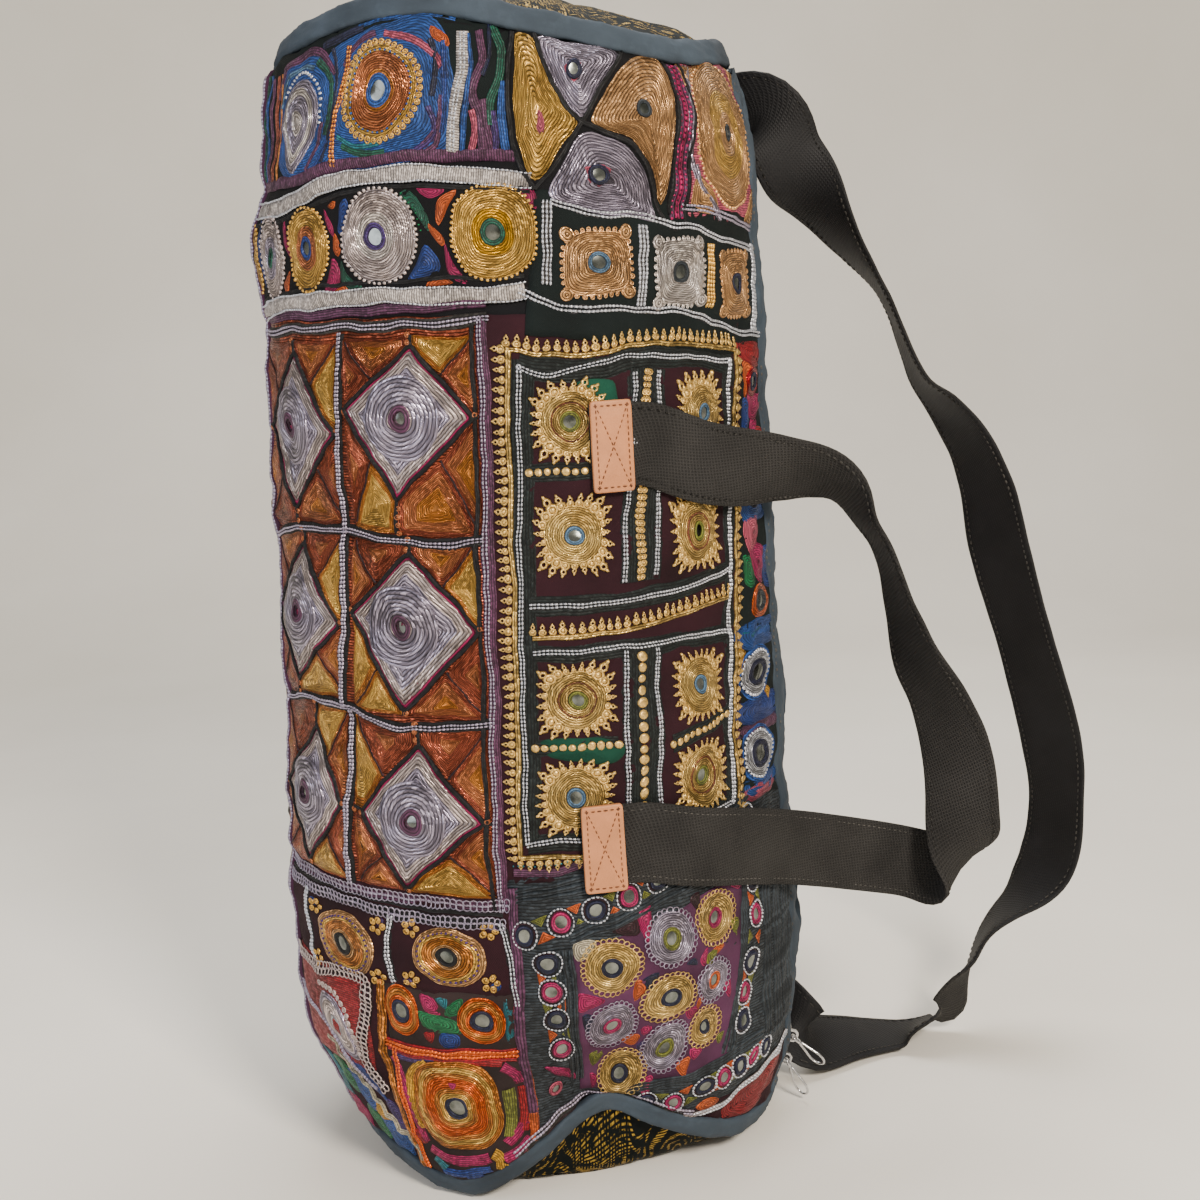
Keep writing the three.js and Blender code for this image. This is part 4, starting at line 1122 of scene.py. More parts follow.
def blue_medallions(w):
    """Top left: a copper medallion and a blue drop on blue cloth."""
    w.ground("-158,496 8,499 10,566 -158,566", "night")
    w.pad(through("-90,500 -22,502 -18,540 -30,561 -66,556 -84,548 -92,520", 4, True),
          "blue", 0.7, "silk")
    w.pad(through("-118,498 -78,500 -76,530 -88,549 -116,548 -124,530", 4, True),
          "blue", 0.7, "silk")
    w.medallion(-52, 530, 18, 20, ("gold", "copper", "copper", "amber"), "blue", 0.36)
    w.row("knot", ellipse(-52, 530, 15, 17, 0, 44), "blue", 0.55, 1.6, True)
    w.row("loop", ellipse(-52, 530, 18.5, 20, 0, 44), "gold", 1.0, 0.8, True)
    w.pad(through("-104,541 -116,533 -117,518 -110,500 -100,503 -88,515 -86,528 -93,539",
                  2.5, True), ("silver", "satin", "silver", "satin"), 1.3, "metal")
    w.row("knot", through("-86,520 -86,532 -94,541 -106,543 -117,534", 2), "bright", 0.8, 0.9)
    for colour, width, path in charted(BLUE_ARCS):
        w.line(path, width, colour, "silk", 0.9)
    w.pad(through("-28,556 -20,550 -19,545 -27,550", 2, True), "orange", 0.9)
    w.line("-13,553 -13,538 -17,520 -20,502", 6.5, "satin", "silk", 1.3, crossed=True)
    w.chain("-13,552 -13,538 -17,520 -20,503", "bright", 2, 1.0, 1.3)
    w.chain("-70,551 -71,538 -76,520 -78,500", "amber", 2, 1.0, 1.0)
    w.line("-158,497 -110,496 -75,500 -40,501 8,499", 6, "plum", "silk", 1.3, crossed=True)


# Silk scraps between the four rounds: thread and outline
ROUND_SCRAPS = """
magenta -86,482 -82,476 -81,470 -84,474
orange -84,484 -78,485 -80,482
orange -80,471 -76,464 -78,461 -81,465
magenta -82,459 -78,456 -80,448 -88,444 -84,452
royal -76,482 -71,484 -75,472 -78,474
green -75,458 -73,452 -66,447 -72,446 -77,450
orange -82,446 -76,448 -74,445
green -40,486 -33,478 -32,470 -37,477 -44,484
magenta -36,487 -24,486 -30,483
orange -19,485 -27,481 -27,472 -23,478
orange -32,473 -25,465 -26,462 -30,467
magenta -24,462 -22,454 -16,446 -24,449
royal -34,462 -29,456 -30,450 -42,449 -38,455
orange -34,445 -29,448 -23,445
magenta 8,484 15,484 16,476
magenta -115,480 -113,472 -112,462 -116,470
orange -120,450 -114,456 -116,446
royal -147,480 -143,470 -146,452 -149,466
"""


def circle_band(w):
    """Left: a band of four rounds between two white satin bands."""
    w.ground("-158,437 14,440 16,497 -158,494", "ink", 0.45)
    rounds = (
        (-131, 463, 12, 19, ("blush", "blush", "silver"), "green", 0.26),
        (-98, 465, 13.5, 19, ("gold", "gold", "copper"), "royal", 0.3),
        (-56, 468, 18.5, 20.5, ("blush", "blush", "satin"), "violet", 0.3),
        (-3, 467, 18.5, 20, ("gold", "gold", "yellow"), "green", 0.32),
        (-158, 464, 9, 17, ("gold", "gold"), "navy", 0.3),
    )
    for x, y, rx, ry, colours, ring, eye in rounds:
        square = 2.5 if x > -20 else 2.0
        w.medallion(x, y, rx, ry, colours, ring, eye, "knot", 0, square)
    w.scraps(ROUND_SCRAPS)
    w.row("knot", "-44,486 -37,478 -35,470", "leaf", 0.5, 0.6)
    for path in (places("-158,487 -128,485 -104,488 -78,493 -40,494 -10,491 14,488"),
                 places("-158,437 -128,441 -90,442 -50,442 -20,440 9,441")):
        w.line(path, 8.0, "satin", "silk", 1.2, crossed=True)
        for side in (-3.4, 3.4):
            w.chain([(x, y + side) for x, y in path], "bright", 1, 0.9, 1.3)
    for path in ("-158,480 -128,479 -104,482 -78,487 -40,488.5 14,483",
                 "-158,443 -90,448 -50,448 9,447"):
        w.line(path, 2.6, "ink", "cord", 1.0)


# Petals of the quartered patch: thread and outline
PETALS = """
gold 12,551 19,549 24,535 31,522 37,514 36,509 28,500 17,487 11,497 9,515 11,535
silver 21,549 40,546 62,543 55,531 42,515 36,517 28,530
sand 43,512.5 52,524 62,536 72,541 88,541 91,520 86,500 80,476 74,490 64,503 54,508
silver 39,508 31,497 22,481 40,474 58,471 75,469 72,484 63,499 52,506
"""


def quartered_patch(w):
    """Top right: four petals of gold and silver that meet, and a copper oval beside them."""
    w.ground("6,474 98,466 100,556 6,566", "ink", 0.35)
    hub = (39, 512.5)
    for colour, outline in charted(PETALS):
        w.pad(through(outline, 2.2, True), colour, 1.2, "metal", 0, 6)
    outlines = (
        places("11,552 8,535 7,515 9,497 16,484"),
        [(20, 551), (24, 536), (31, 522), hub, (53, 507), (65, 500), (73, 486), (79, 470)],
        [(66, 545), (52, 528), hub, (30, 499), (16, 484)],
        places("91,543 93,520 88,500 83,472"),
    )
    for path in outlines:
        w.line(path, 2.8, "ink", "cord", 1.5)
    for x, y, patch in ((39, 534.5, "pink"), (71, 518, "sand"), (45.5, 489, "pink")):
        w.pad(through([(x - 7, y + 3), (x + 7, y + 4), (x, y - 7)], 1.5, True), patch, 1.45, "silk", 0, 2)
        w.eye(x, y, 4.5, 4.5, "navy" if patch == "pink" else "slate", 0.42, lift=0.7)
    w.pad(through("20,520 23,512 20,506 18,512", 1.5, True), "pink", 1.5, "silk", 0, 2)
    for k in range(3):
        path = [(95 + 3.4 * k, 545), (94 + 3.2 * k, 520), (89 + 3.2 * k, 495), (84 + 3.2 * k, 470)]
        w.line(path, 3.2, ("plum", "magenta", "plum")[k], "cord", 1.1)
        w.row("knot", evenly(path, 2.6), ("magenta", "maroon", "magenta")[k], 0.7, 1.0)
    w.line("106,546 103,520 98,495 92,468", 2.6, "ink", "cord", 1.3)
    w.ground("96,470 166,462 166,566 108,556", "pink", 0.5, "silk")
    for corner in ("99,474 118,473 103,490", "106,545 126,545 104,528",
                   "165,470 148,470 164,488", "166,546 150,546 166,526"):
        w.pad(through(corner, 2, True), "sand", 1.0, "metal", 0, 3)
    for side in ("100,492 99,508 103,524 112,541", "122,470 106,482 101,494"):
        w.line(side, 5, "silver", "metal", 1.0)
    w.medallion(131, 509, 28, 34, ("sand", "sand", "gold", "sand"), "slate", 0.13, "knot")


def knobbed_squares(w):
    """Right: gold, silver and bronze squares with knobs, between silver lines."""
    w.ground("8,422 166,402 166,470 16,484", "night", 0.6)
    squares = ((43, 451.5, 18, 17, "sand", "steel"), (87.5, 446, 17.5, 17, "satin", "slate"),
               (132, 440, 16, 17, "sand", "navy"))
    for x, y, rx, ry, colour, ring in squares:
        w.medallion(x, y, rx - 2.2, ry - 2.2, colour, ring, 0.36, None, 0, 3.4)
        w.row("loop", ellipse(x, y, rx - 2.6, ry - 2.6, 0, 60, 3.4), colour, 0.75, 0.8, True)
        for sx in (-1, 1):
            for sy in (-1, 1):
                knob = ellipse(x + sx * (rx - 4), y + sy * (ry - 4), 3.6, 3.6, 0, 16)
                w.pad(knob, colour, 1.6, "metal", 0, 3)
    ribs = ((20, 444, 478, "bright"), (65, 433, 466, "bright"), (155, 418, 458, "bright"),
            (108, 430, 458, "gold"))
    for x, low, high, colour in ribs:
        path = [(x + 1.5, high), (x, (low + high) / 2), (x - 1, low)]
        w.line(path, 6.5, "charcoal", "cord", 0.8)
        w.chain(path, colour, 3, 1.15, 1.0)
    for path in ("24,478 45,473 68,471 86,467 100,466 120,461 166,455",
                 "7,441 25,433 50,431 85,429 104,425 116,421 166,414"):
        w.line(path, 6.5, "ink", "cord", 0.7)
        w.chain(path, "bright", 2, 1.15, 1.0)
    w.chain("92,475 115,473 140,469 166,466", "silver", 2, 1.1, 1.0)


def diamond_cell(w, corners, tips, heart, ring_size, tones):
    """One cell of the diamond patch: rust and gold sectors, the rust the thread's own colour and the gold
    painted sheen on the metal thread, and a silver diamond of rings on them.
    """
    tips, corners = np.array(tips, float), np.array(corners, float)
    centre = np.array(heart, float)
    edges = ((3, 2), (2, 1), (1, 0), (0, 3))
    feet = []
    for tip, (first, second), axis in zip(tips, edges, (0, 1, 0, 1)):
        start, end = corners[first], corners[second]
        feet.append(start + (end - start) * (tip[axis] - start[axis]) / (end[axis] - start[axis]))
    for k, corner in enumerate((3, 2, 1, 0)):
        before, after = (3, 0, 1, 2)[k], k
        middle = 0.55 * tips[before] + 0.45 * tips[after]
        middle = middle + 0.06 * (corners[corner] - middle)
        for side, tone in zip((before, after), tones[k]):
            shape = evenly([corners[corner], feet[side], tips[side], middle], 3.0, True)
            if side == after:
                shape = shape[::-1]
            w.pad(shape, tone, 1.0, "metal", 0, 4, None, 0.62)
        w.line([corners[corner] * 0.9 + middle * 0.1, middle], 1.1, "maroon", "cord", 1.15)
    w.pad(evenly(tips[::-1], 3.0, True), "magenta", 0.8, "silk", 0, 3, heart)
    shape = evenly(tips[::-1], 2.5, True)
    w.pad(centre + (shape - centre) * 0.93, ("blush", "silver", "silver"), 1.15, "metal", 0.2, 5, heart, 1.15)
    w.pad(ellipse(*heart, ring_size, ring_size * 1.1), ("silver", "silver", "silver", "blush"), 1.9, "metal",
          0.18, 6, heart, 1.3)
    w.pad(ellipse(*heart, 6.5, 8), "plum", 2.2, "silk", 0.4, 3, heart, 1.3)
    w.eye(heart[0], heart[1], 2.9, 3.8, "plum", 0.3)
    w.line(evenly(tips[::-1], 2.0, True), 2.4, "ink", "cord", 1.7, True, False)
    for tip, foot in zip(tips, feet):
        w.line([tip * 0.95 + centre * 0.05, foot], 2.2, "ink", "cord", 1.4)
        w.row("loop", evenly([tip + (foot - tip) * 0.2, foot], 1.0), "copper", 0.9, 1.1, False, 2.0)


def diamond_patch(w):
    """Left: silver diamonds in rust and orange cells, parted by grey cords."""
    w.ground("-158,163 -18,160 -13,432 -158,434", "rust", 0.25, "metal")
    # Sector tones: rust and copper are the thread's own colours, and the gold rows are painted sheen where
    # the metal thread would catch the light.
    gold, warm, dark = ("amber", "gold", "gold"), ("rust", "copper", "amber"), ("rust", "rust", "copper")
    cells = (
        (places("-80,338 -16,333 -14,424 -79,424"), places("-44,420 -17,387 -56,351 -79,393"),
         (-50, 388), 18, ((dark, warm), (gold, warm), (warm, warm), (gold, dark))),
        (places("-86,254 -19,249 -18,331 -82,335"), places("-50,327 -20,290 -58,253 -84,299"),
         (-57, 293), 18, ((warm, dark), (warm, gold), (dark, warm), (gold, gold))),
        (places("-92,167 -20,164 -19,245 -88,250"), places("-52,238 -23,201 -64,167 -84,205"),
         (-57, 202), 17, ((gold, dark), (dark, warm), (warm, gold), (warm, warm))),
        (places("-158,338 -86,340 -84,424 -158,424"), places("-114,419 -87,382 -124,345 -150,384"),
         (-121, 385), 17, ((dark, dark), (warm, gold), (dark, warm), (dark, warm))),
        (places("-158,255 -91,257 -88,336 -158,334"), places("-120,329 -93,292 -131,261 -157,296"),
         (-126, 296), 17, ((dark, warm), (dark, gold), (warm, gold), (dark, dark))),
        (places("-158,168 -96,168 -92,252 -158,250"), places("-117,240 -97,204 -128,170 -152,206"),
         (-127, 206), 16, ((warm, dark), (gold, warm), (dark, gold), (dark, warm))),
    )
    for corners, tips, heart, size, tones in cells:
        diamond_cell(w, corners, tips, heart, size, tones)
    cords = (
        places("-82,426 -83,400 -86,370 -88,336"),
        places("-89,334 -88,305 -92,275 -94,253"),
        places("-90,250 -91,230 -95,195 -97,166"),
        places("-158,329 -130,335 -90,337 -50,332 -16,332"),
        places("-158,247 -125,254 -90,252 -60,246 -18,247"),
    )
    for path in cords:
        w.line(path, 6.5, "ink", "cord", 1.2)
        w.chain(path, "silver", 2, 0.9, 1.6)
    w.line("-158,435 -100,436 -50,436 -8,437", 5, "plum", "silk", 1.1)
    w.line("-158,428 -100,430 -50,429 -8,430", 6, "charcoal", "cord", 1.0)
    w.chain("-158,428 -100,430 -50,429 -8,430", "silver", 2, 1.0, 1.3)
    edge = places("-11,430 -12,380 -14,330 -16,260 -18,200 -18,158")
    w.line(edge, 6.5, "plum", "silk", 1.1)
    w.chain([(x - 1, y) for x, y in edge], "silver", 2, 0.9, 1.5)
    w.line([(x - 4.6, y) for x, y in edge], 2.6, "ink", "cord", 1.4)


def gold_teeth(w, path):
    """A gold border whose teeth stand to the right of its path."""
    smooth = through(path, 3.0)
    w.line(path, 3.0, "pale_gold", "metal", 1.1)
    w.row("tooth", smooth, "pale_gold", 1.0, 0.8, False, -1.2)


# Dark strips under the lines of the sun patch: width and path
SUN_STRIPS = """
13 6,411 3,360 1,300 -1,240 -3,190
13 4,409 30,405 60,409 100,408 124,403
11 122,405 121,360 118,320 115,280 113,240 108,192
11 -4,190 30,191 70,191 108,192
11 4,301 40,300 80,301 116,306
10 4,279 40,278 80,277 114,274
26 66,404 64,380 60,350 56,308
26 55,278 53,240 52,192
"""


def sun_patch(w):
    """Right: eight gold suns in a frame of gold teeth and silver lines."""
    w.ground("-18,170 122,170 140,424 -13,432", "maroon")
    for width, path in charted(SUN_STRIPS):
        w.line(path, width, "night", "cord", 0.55)
    w.pad(through("30,400 48,400 46,380 32,396", 2, True), "green", 0.7, "ground")
    w.pad(through("6,240 40,236 38,226 10,230", 2, True), "green", 0.7, "ground")
    gold_teeth(w, "0,416 -2,380 -4,300 -6,240 -8,184")
    gold_teeth(w, places("-1,416 30,412 60,415 100,413 129,409")[::-1])
    gold_teeth(w, places("129,408 127,370 123,300 117,240 112,184")[::-1])
    gold_teeth(w, "-8,184 30,183 70,184 112,185")
    gold_teeth(w, places("4,287 40,286 80,289 115,293")[::-1])
    frames = (
        places("4,408 2,360 -1,300 -3,240 -4,191"),
        places("4,408 20,404 50,410 90,408 122,405"),
        places("122,405 121,360 118,320 115,280 113,240 108,192"),
        places("-4,190 30,192 70,191 108,192"),
        places("4,301 40,300 80,301 116,306"),
        places("4,280 40,279 80,278 114,275"),
        places("59,402 57,380 52,350 47,310"),
        places("72,402 71,380 68,350 64,310"),
        places("46,276 44,240 43,192"),
        places("63,276 61,240 61,192"),
    )
    for path in frames:
        w.chain(path, "bright", 2, 0.9, 1.0)
    path = places("66,402 62,380 58,345 56,310")
    w.line(path, 6, "charcoal", "cord", 0.8)
    w.row("loop", evenly(path, 2), "pale_gold", 1.0, 0.9, False, 1.8)
    w.row("loop", evenly(path[::-1], 2), "pale_gold", 1.0, 0.9, False, 1.8)
    w.row("bead", evenly("54,274 52,240 52,192", 3), "pale_gold", 1.0, 0.5)
    for path in ("6,361 40,361", "2,236 40,234", "68,230 110,235", "76,352 116,352"):
        w.line(path, 10, "night", "cord", 0.6)
        w.row("small_bead", evenly(path, 3), "pale_gold", 1.0, 0.6)
    suns = (
        (26, 383, 13.5, 18, 19, "olive"), (25, 332, 14, 18.5, 19, "steel"), (22, 257, 14, 18.5, 18, "olive"),
        (19, 211, 14, 18.5, 18, "steel"), (99, 381, 13.5, 17, 21, "steel"), (92, 327, 14, 18, 19, "olive"),
        (89, 254, 14, 18.5, 17, "steel"), (87, 210, 14.5, 18.5, 17, "olive"),
    )
    for x, y, radius, half, tall, ring in suns:
        w.sun(x, y, radius, half, ring, "pale_gold", tall)
        if ring == "olive":
            w.line(ellipse(x, y, 0.6 * radius, 0.6 * radius, 0, 24), 0.9, "rust", "cord", 1.7, True, False)


# Silk scraps beside the zip: thread and outline
SIDE_SCRAPS = """
red 136,412 160,410 160,402 138,403
orange 138,402 146,402 140,386
magenta 144,386 160,386 152,376 146,376
royal 138,384 144,382 142,370 137,372
magenta 146,372 152,372 150,352 145,352
leaf 136,366 144,364 142,350 135,352
red 150,368 162,366 160,350 152,350
blue 134,346 160,346 158,328 136,328
pink 136,326 150,326 148,314 138,312
magenta 140,312 154,310 150,296 142,298
leaf 133,308 140,306 138,294 132,296
royal 152,308 163,308 162,292 154,294
blue 126,274 164,274 164,264 128,265
teal 130,272 160,272 150,267
yellow 123,268 128,262 127,252 123,256
royal 124,236 160,236 160,226 126,227
plum 124,224 158,225 158,220 126,219
yellow 148,240 154,238 152,230
blue 122,196 160,196 158,190 122,190
pink 122,193 150,194 154,189 126,188
"""


def side_strip(w):
    """Beside the zip: a narrow strip of bright scraps and mirrors."""
    w.ground("120,190 166,184 166,412 138,416", "night", 0.5)
    w.scraps(SIDE_SCRAPS)
    rounds = (
        (148, 393, 9, 8, "red", "navy"), (147, 335, 8, 7, "blue", "navy"),
        (146, 285, 10, 9, "orange", "slate"), (139, 250, 13, 12, "bright", "navy"),
        (138, 209, 13.5, 12.5, "bright", "navy"),
    )
    for x, y, rx, ry, outer, ring in rounds:
        w.medallion(x, y, rx, ry, outer, ring, 0.66, "knot" if outer == "bright" else None)
        if outer == "bright":
            w.line(ellipse(x, y, rx + 2, ry + 2), 2.6, "blue", "cord", 0.9, True, False)


def chain_bands(w):
    """Left: two silver chain bands, and two gold medallions on maroon cloth below them."""
    w.ground("-158,118 -14,116 -12,166 -158,168", "maroon", 0.5)
    for width, tone, path in ((7, "plum", places("-158,166 -100,163 -60,162 -16,160")),
                              (7, "ink", places("-158,157 -110,156 -60,154 -18,152"))):
        w.line(path, width, tone, "silk", 0.8)
        for side in (-1.2, 1.2):
            w.row("link", evenly(through(path), 2), "silver", 1.0, 1.1, False, side)
    w.line("-158,161 -90,160 -18,156", 2.4, "ink", "cord", 1.1)
    for x, y, rx, ry in ((-104, 134, 21, 15), (-44, 136, 18, 14.5)):
        w.medallion(x, y, rx, ry, ("sand", "gold", "amber", "sand"), "ink", 0.34, None, -12)
        w.row("knot", ellipse(x, y, 0.8 * rx, 0.8 * ry, -12, 44), "violet", 0.6, 1.5, True)
        for sx in (-1, 1):
            for sy in (-1, 1):
                cx, cy = x + sx * (rx + 1), y + sy * (ry - 2)
                colour = "royal" if sx * sy < 0 else "violet"
                w.pad(ellipse(cx + 2 * sx, cy + 2 * sy, 3.2, 2.6, 0, 12), colour, 0.8, "silk", 0, 2)
                w.row("loop", ellipse(cx, cy, 2.2, 2.0, 0, 12), "gold", 1.05, 0.9, True)
    for path in ("-74,153 -76,138 -73,120", "-133,154 -134,138 -130,120",
                 "-19,152 -16,138 -13,112"):
        w.line(path, 6, "ink", "cord", 0.8)
        w.chain(path, "bright", 2, 1.0, 1.0)


# Silk scraps below the red corner: thread and outline
FOOT_SCRAPS = """
leaf -132,62 -122,64 -116,50 -126,48
blue -122,58 -112,58 -104,44 -114,42
royal -112,74 -98,66 -92,52 -104,60
yellow -106,46 -98,46 -96,38 -104,38
blue -104,36 -92,36 -88,20 -100,24
leaf -118,38 -108,38 -104,26 -114,26
violet -92,50 -86,50 -84,36 -90,36
teal -150,60 -138,60 -136,40 -150,38
magenta -152,34 -130,36 -126,20 -150,18
"""


def red_corner(w):
    """Lower left: a red scrap with a silver drop, bordered in chain, and cream rickrack below it."""
    w.ground("-158,8 -80,8 -80,120 -158,122", "maroon", 0.3)
    w.ground("-146,66 -92,66 -88,119 -150,121", "red", 0.7, "silk")
    w.pad(through("-124,104 -112,101 -104,90 -101,74 -108,72 -120,80 -128,94", 2, True),
          ("silver", "blush", "bright"), 1.3, "metal", 0, 4)
    w.row("loop", through("-102,76 -104,92 -113,104 -126,107", 2), "blush", 1.1, 0.8)
    w.pad(ellipse(-114, 87, 3.5, 6, 30, 14), "red", 1.6, "silk", 0, 2)
    border = places("-158,117 -130,116 -100,119 -90,116 -92,98 -98,76 -88,60")
    w.line(border, 8, "maroon", "cord", 1.0)
    for side in (-1.6, 1.6):
        w.row("link", evenly(through(border), 2), "blush", 1.1, 1.3, False, side)
    w.chain("-158,98 -128,88 -112,70 -96,58", "silver", 2, 1.1, 1.0)
    w.line("-82,120 -83,100 -85,80 -82,60 -84,40 -80,14", 4.6, "amber", "metal", 1.3)
    w.chain("-78,84 -77,60 -77,36 -75,14", "orange", 2, 1.2, 1.0)
    sides = [1 if k % 2 else -1 for k in range(17)]
    zigzag = [(-126 + 3 * k + 1.6 * side, 78 - 3.6 * k + 1.8 * side) for k, side in enumerate(sides)]
    w.line(zigzag, 4.4, "cream", "silk", 1.4, False, False, 1.6)
    w.scraps(FOOT_SCRAPS)


# Silk scraps between the orange rings: thread and outline
RING_SCRAPS = """
magenta -60,116 -54,116 -50,108 -57,109
teal -52,116 -47,116 -47,110
leaf -60,107 -44,104 -43,97 -58,99
leaf -47,110 -40,115 -42,107 -47,106
red -60,96 -54,97 -56,91
royal -50,96 -43,95 -44,89 -51,90
teal -19,114 -15,108 -17,92 -20,98
red -15,112 -12,100 -15,90
teal -76,118 -68,119 -74,114
"""


def orange_rings(w):
    """Lower left: two mirrors in orange rings, with bright scraps between them."""
    w.ground("-80,86 -16,84 -14,118 -80,119", "umber", 0.6)
    for x, y, rx, ry in ((-71, 106, 9.5, 13), (-31, 104, 12, 13)):
        w.medallion(x, y, rx, ry, ("orange", "amber", "orange"), "navy", 0.5)
    w.scraps(RING_SCRAPS, 0.9)
    for k, colour in enumerate(("red", "orange", "red")):
        w.line([(-82, 89 - 2.4 * k), (-50, 87 - 2.4 * k), (-16, 87 - 2.4 * k)], 2.8, colour, "silk", 1.2)
    w.chain("-82,87 -50,85 -16,85", "orange", 2, 1.3, 1.4)


# Silk strips round the big medallion: thread, width and path
FOOT_STRIPS = """
magenta 4 -80,80 -75,66 -73,48 -70,34
yellow 4 -60,81 -70,72 -73,56 -70,42
violet 4.5 -78,82 -66,83 -56,83
teal 4 -53,84 -46,84
red 3 -44,83 -34,82 -24,80
magenta 4 -24,78 -18,74 -16,68
olive 4.5 -22,66 -22,50 -24,38
red 4 -16,66 -15,52 -17,40
magenta 4.5 -68,30 -58,25 -46,25 -36,28
yellow 4.5 -34,30 -30,26 -31,20
magenta 4 -26,34 -20,40 -15,46
magenta 4 -28,26 -20,30 -14,36
royal 4.5 -64,16 -50,17 -36,20
teal 4 -68,24 -62,19
red 4 -76,40 -72,32
orange 4 -72,10 -50,9 -30,15 -14,27
orange 3.6 -13,84 -12,60 -12,34
violet 4 -60,5 -40,6 -24,10
"""


def big_medallion(w):
    """Bottom left: a large orange-gold medallion among bright strips."""
    w.ground("-86,4 -12,6 -14,86 -84,88", "umber", 0.45)
    rings = ("amber", "gold", "amber", "orange", "amber", "gold")
    w.medallion(-48, 57, 22, 25, rings, "navy", 0.28, None, 4, 2.9, 1.6)
    for colour, width, path in charted(FOOT_STRIPS):
        w.line(path, 1.6 * width, colour, "silk", 1.0)
    w.row("knot", through("-78,12 -50,7 -28,13 -13,24", 2), "orange", 0.9, 1.0)
    w.pad(through("-52,71 -46,71 -49,66", 1.2, True), "magenta", 1.9, "silk", 0, 2)


def chained_mirrors(w, spots, size=6.0):
    """A border of mirrors in magenta and navy rings, each ringed in bright chain, with bright triangles
    between.
    """
    spots = np.array(spots, float)
    for k, (x, y) in enumerate(spots):
        if k + 1 < len(spots):
            to = spots[k + 1]
            along = (to - spots[k]) / max(np.linalg.norm(to - spots[k]), 1e-6)
            side = np.array([-along[1], along[0]])
            middle = (spots[k] + to) / 2
            pair = (("orange", "olive") if k % 2 else ("olive", "orange"))
            for sign, colour in zip((1, -1), pair):
                tip = middle + side * sign * 0.8
                beside = side * sign * 5.4
                shape = [tip, middle + along * 4.4 + beside, middle - along * 4.4 + beside]
                w.pad(evenly(shape, 1.5, True), colour, 0.9, "silk", 0, 2)
        w.pad(ellipse(x, y, 0.92 * size, size, 0, 20), "maroon", 0.7, "silk", 0, 2)
        w.eye(x, y, 0.78 * size, 0.84 * size, "magenta" if k % 2 else "navy", 0.42)
        w.row("chain", ellipse(x, y, 0.98 * size, 1.05 * size, 0, 24), "bright", 0.8, 1.1, True)


# Silk scraps of the mirror grid: thread and outline
GRID_SCRAPS = """
magenta 44,152 51,155 47,140 45,144
maroon 32,148 43,151 43,144 36,145
cream 14,142 24,142 16,134
orange 42,120 47,116 42,110
magenta 15,116 26,112 16,107
navy 17,104 22,102 20,92
magenta 74,124 79,128 77,120
navy 45,120 52,122 48,114
olive 79,124 88,126 80,119
orange 83,126 90,126 84,122
olive 98,134 104,134 102,126
magenta 99,154 108,156 106,149
maroon 72,152 78,154 77,146
magenta 66,98 74,98 70,92
orange 72,102 76,104 73,96
magenta 90,104 94,106 93,98
navy 72,122 70,126 66,124
orange 38,84 46,88 44,80
magenta 47,94 52,92 48,88
olive 22,76 30,76 24,68
magenta 22,64 27,62 24,56
orange 68,66 74,70 72,60
magenta 50,56 56,60 53,49
olive 88,78 92,80 90,73
violet 46,80 50,84 48,76
magenta 74,74 80,72 76,68
"""


def mirror_grid(w):
    """Lower right: a slanting grid of nine medallions with a border of small mirrors."""
    w.ground("-16,34 166,34 166,200 -16,172", "slate", 0.3, "cord")
    w.ground("16,55 96,62 110,158 13,140", "plum", 0.6)
    rounds = (
        (30, 129, 14.5, 15, "pale_gold", "navy", 0), (59, 138, 14, 14, "silver", "olive", 0),
        (88, 140, 14.5, 13, "pale_gold", "magenta", 20), (32, 95, 13, 16, "silver", "magenta", -12),
        (58, 108, 14, 13, "pale_gold", "navy", 40), (83, 110, 11.5, 11, "silver", "orange", 30),
        (40, 63, 13, 15, "pale_gold", "navy", -10), (60, 78, 12, 16.5, "silver", "olive", 0),
        (80, 86, 9.5, 13, "pale_gold", "navy", 0),
    )
    for x, y, rx, ry, colour, ring, turn in rounds:
        w.medallion(x, y, rx - 1.6, ry - 1.6, colour, ring, 0.42, None, turn)
        w.row("link", ellipse(x, y, rx - 1.2, ry - 1.2, turn, 44), colour, 0.9, 0.9, True)
    w.scraps(GRID_SCRAPS, 1.0)
    top = places("-7.5,147 8.5,152.5 24.5,157.5 40,162 56,167 72,172 88,176 104,180 118,182")
    left = places("2,133.5 3,118.5 4,103 6,85")
    right = places("120,150 119,132 111,110 106,95 105,80")
    bottom = places("54,45 69,44 84,50.5 94,53 105,55.5 116,57 128,57.5")
    chained_mirrors(w, top)
    chained_mirrors(w, left, 6.4)
    chained_mirrors(w, right, 6.4)
    chained_mirrors(w, bottom, 5.6)
    w.eye(1, 60, 4, 4.4, "pink", 0.5)
    w.pad(through("-4,76 8,72 14,62 4,68", 2, True), "magenta", 1.1, "silk", 0, 2)
    cord = lambda path, width=2.8: w.line(path, width, "slate", "cord", 1.1)
    for offset in (0, 3, 6):
        cord([(-13, 166 - offset * 0.8), (40, 176 - offset), (122, 194 - offset)])
        cord([(12 - offset, 140), (14 - offset, 100), (17 - offset, 62)])
        cord([(12, 143 + offset), (60, 156 + offset), (110, 163 + offset)])
        cord([(99 - offset, 66), (102 - offset * 0.5, 100), (112 - offset * 0.5, 140), (113, 160)], 2.6)
        cord([(44, 55 - offset * 0.6), (75, 60 - offset * 0.4), (122, 70 - offset)])
        for x in (126, 137, 148, 158):
            cord([(x + offset, 62), (x - 1 + offset, 100), (x + 4 + offset, 150)])
    w.line("-12,176 10,176 28,181 60,184", 5, "plum", "silk", 1.1)
    w.row("knot", evenly("-12,180 10,180 24,184", 2), "teal", 0.5, 1.0)
    w.line("-13,168 -12,130 -13,90 -12,50", 6, "plum", "cord", 1.2)


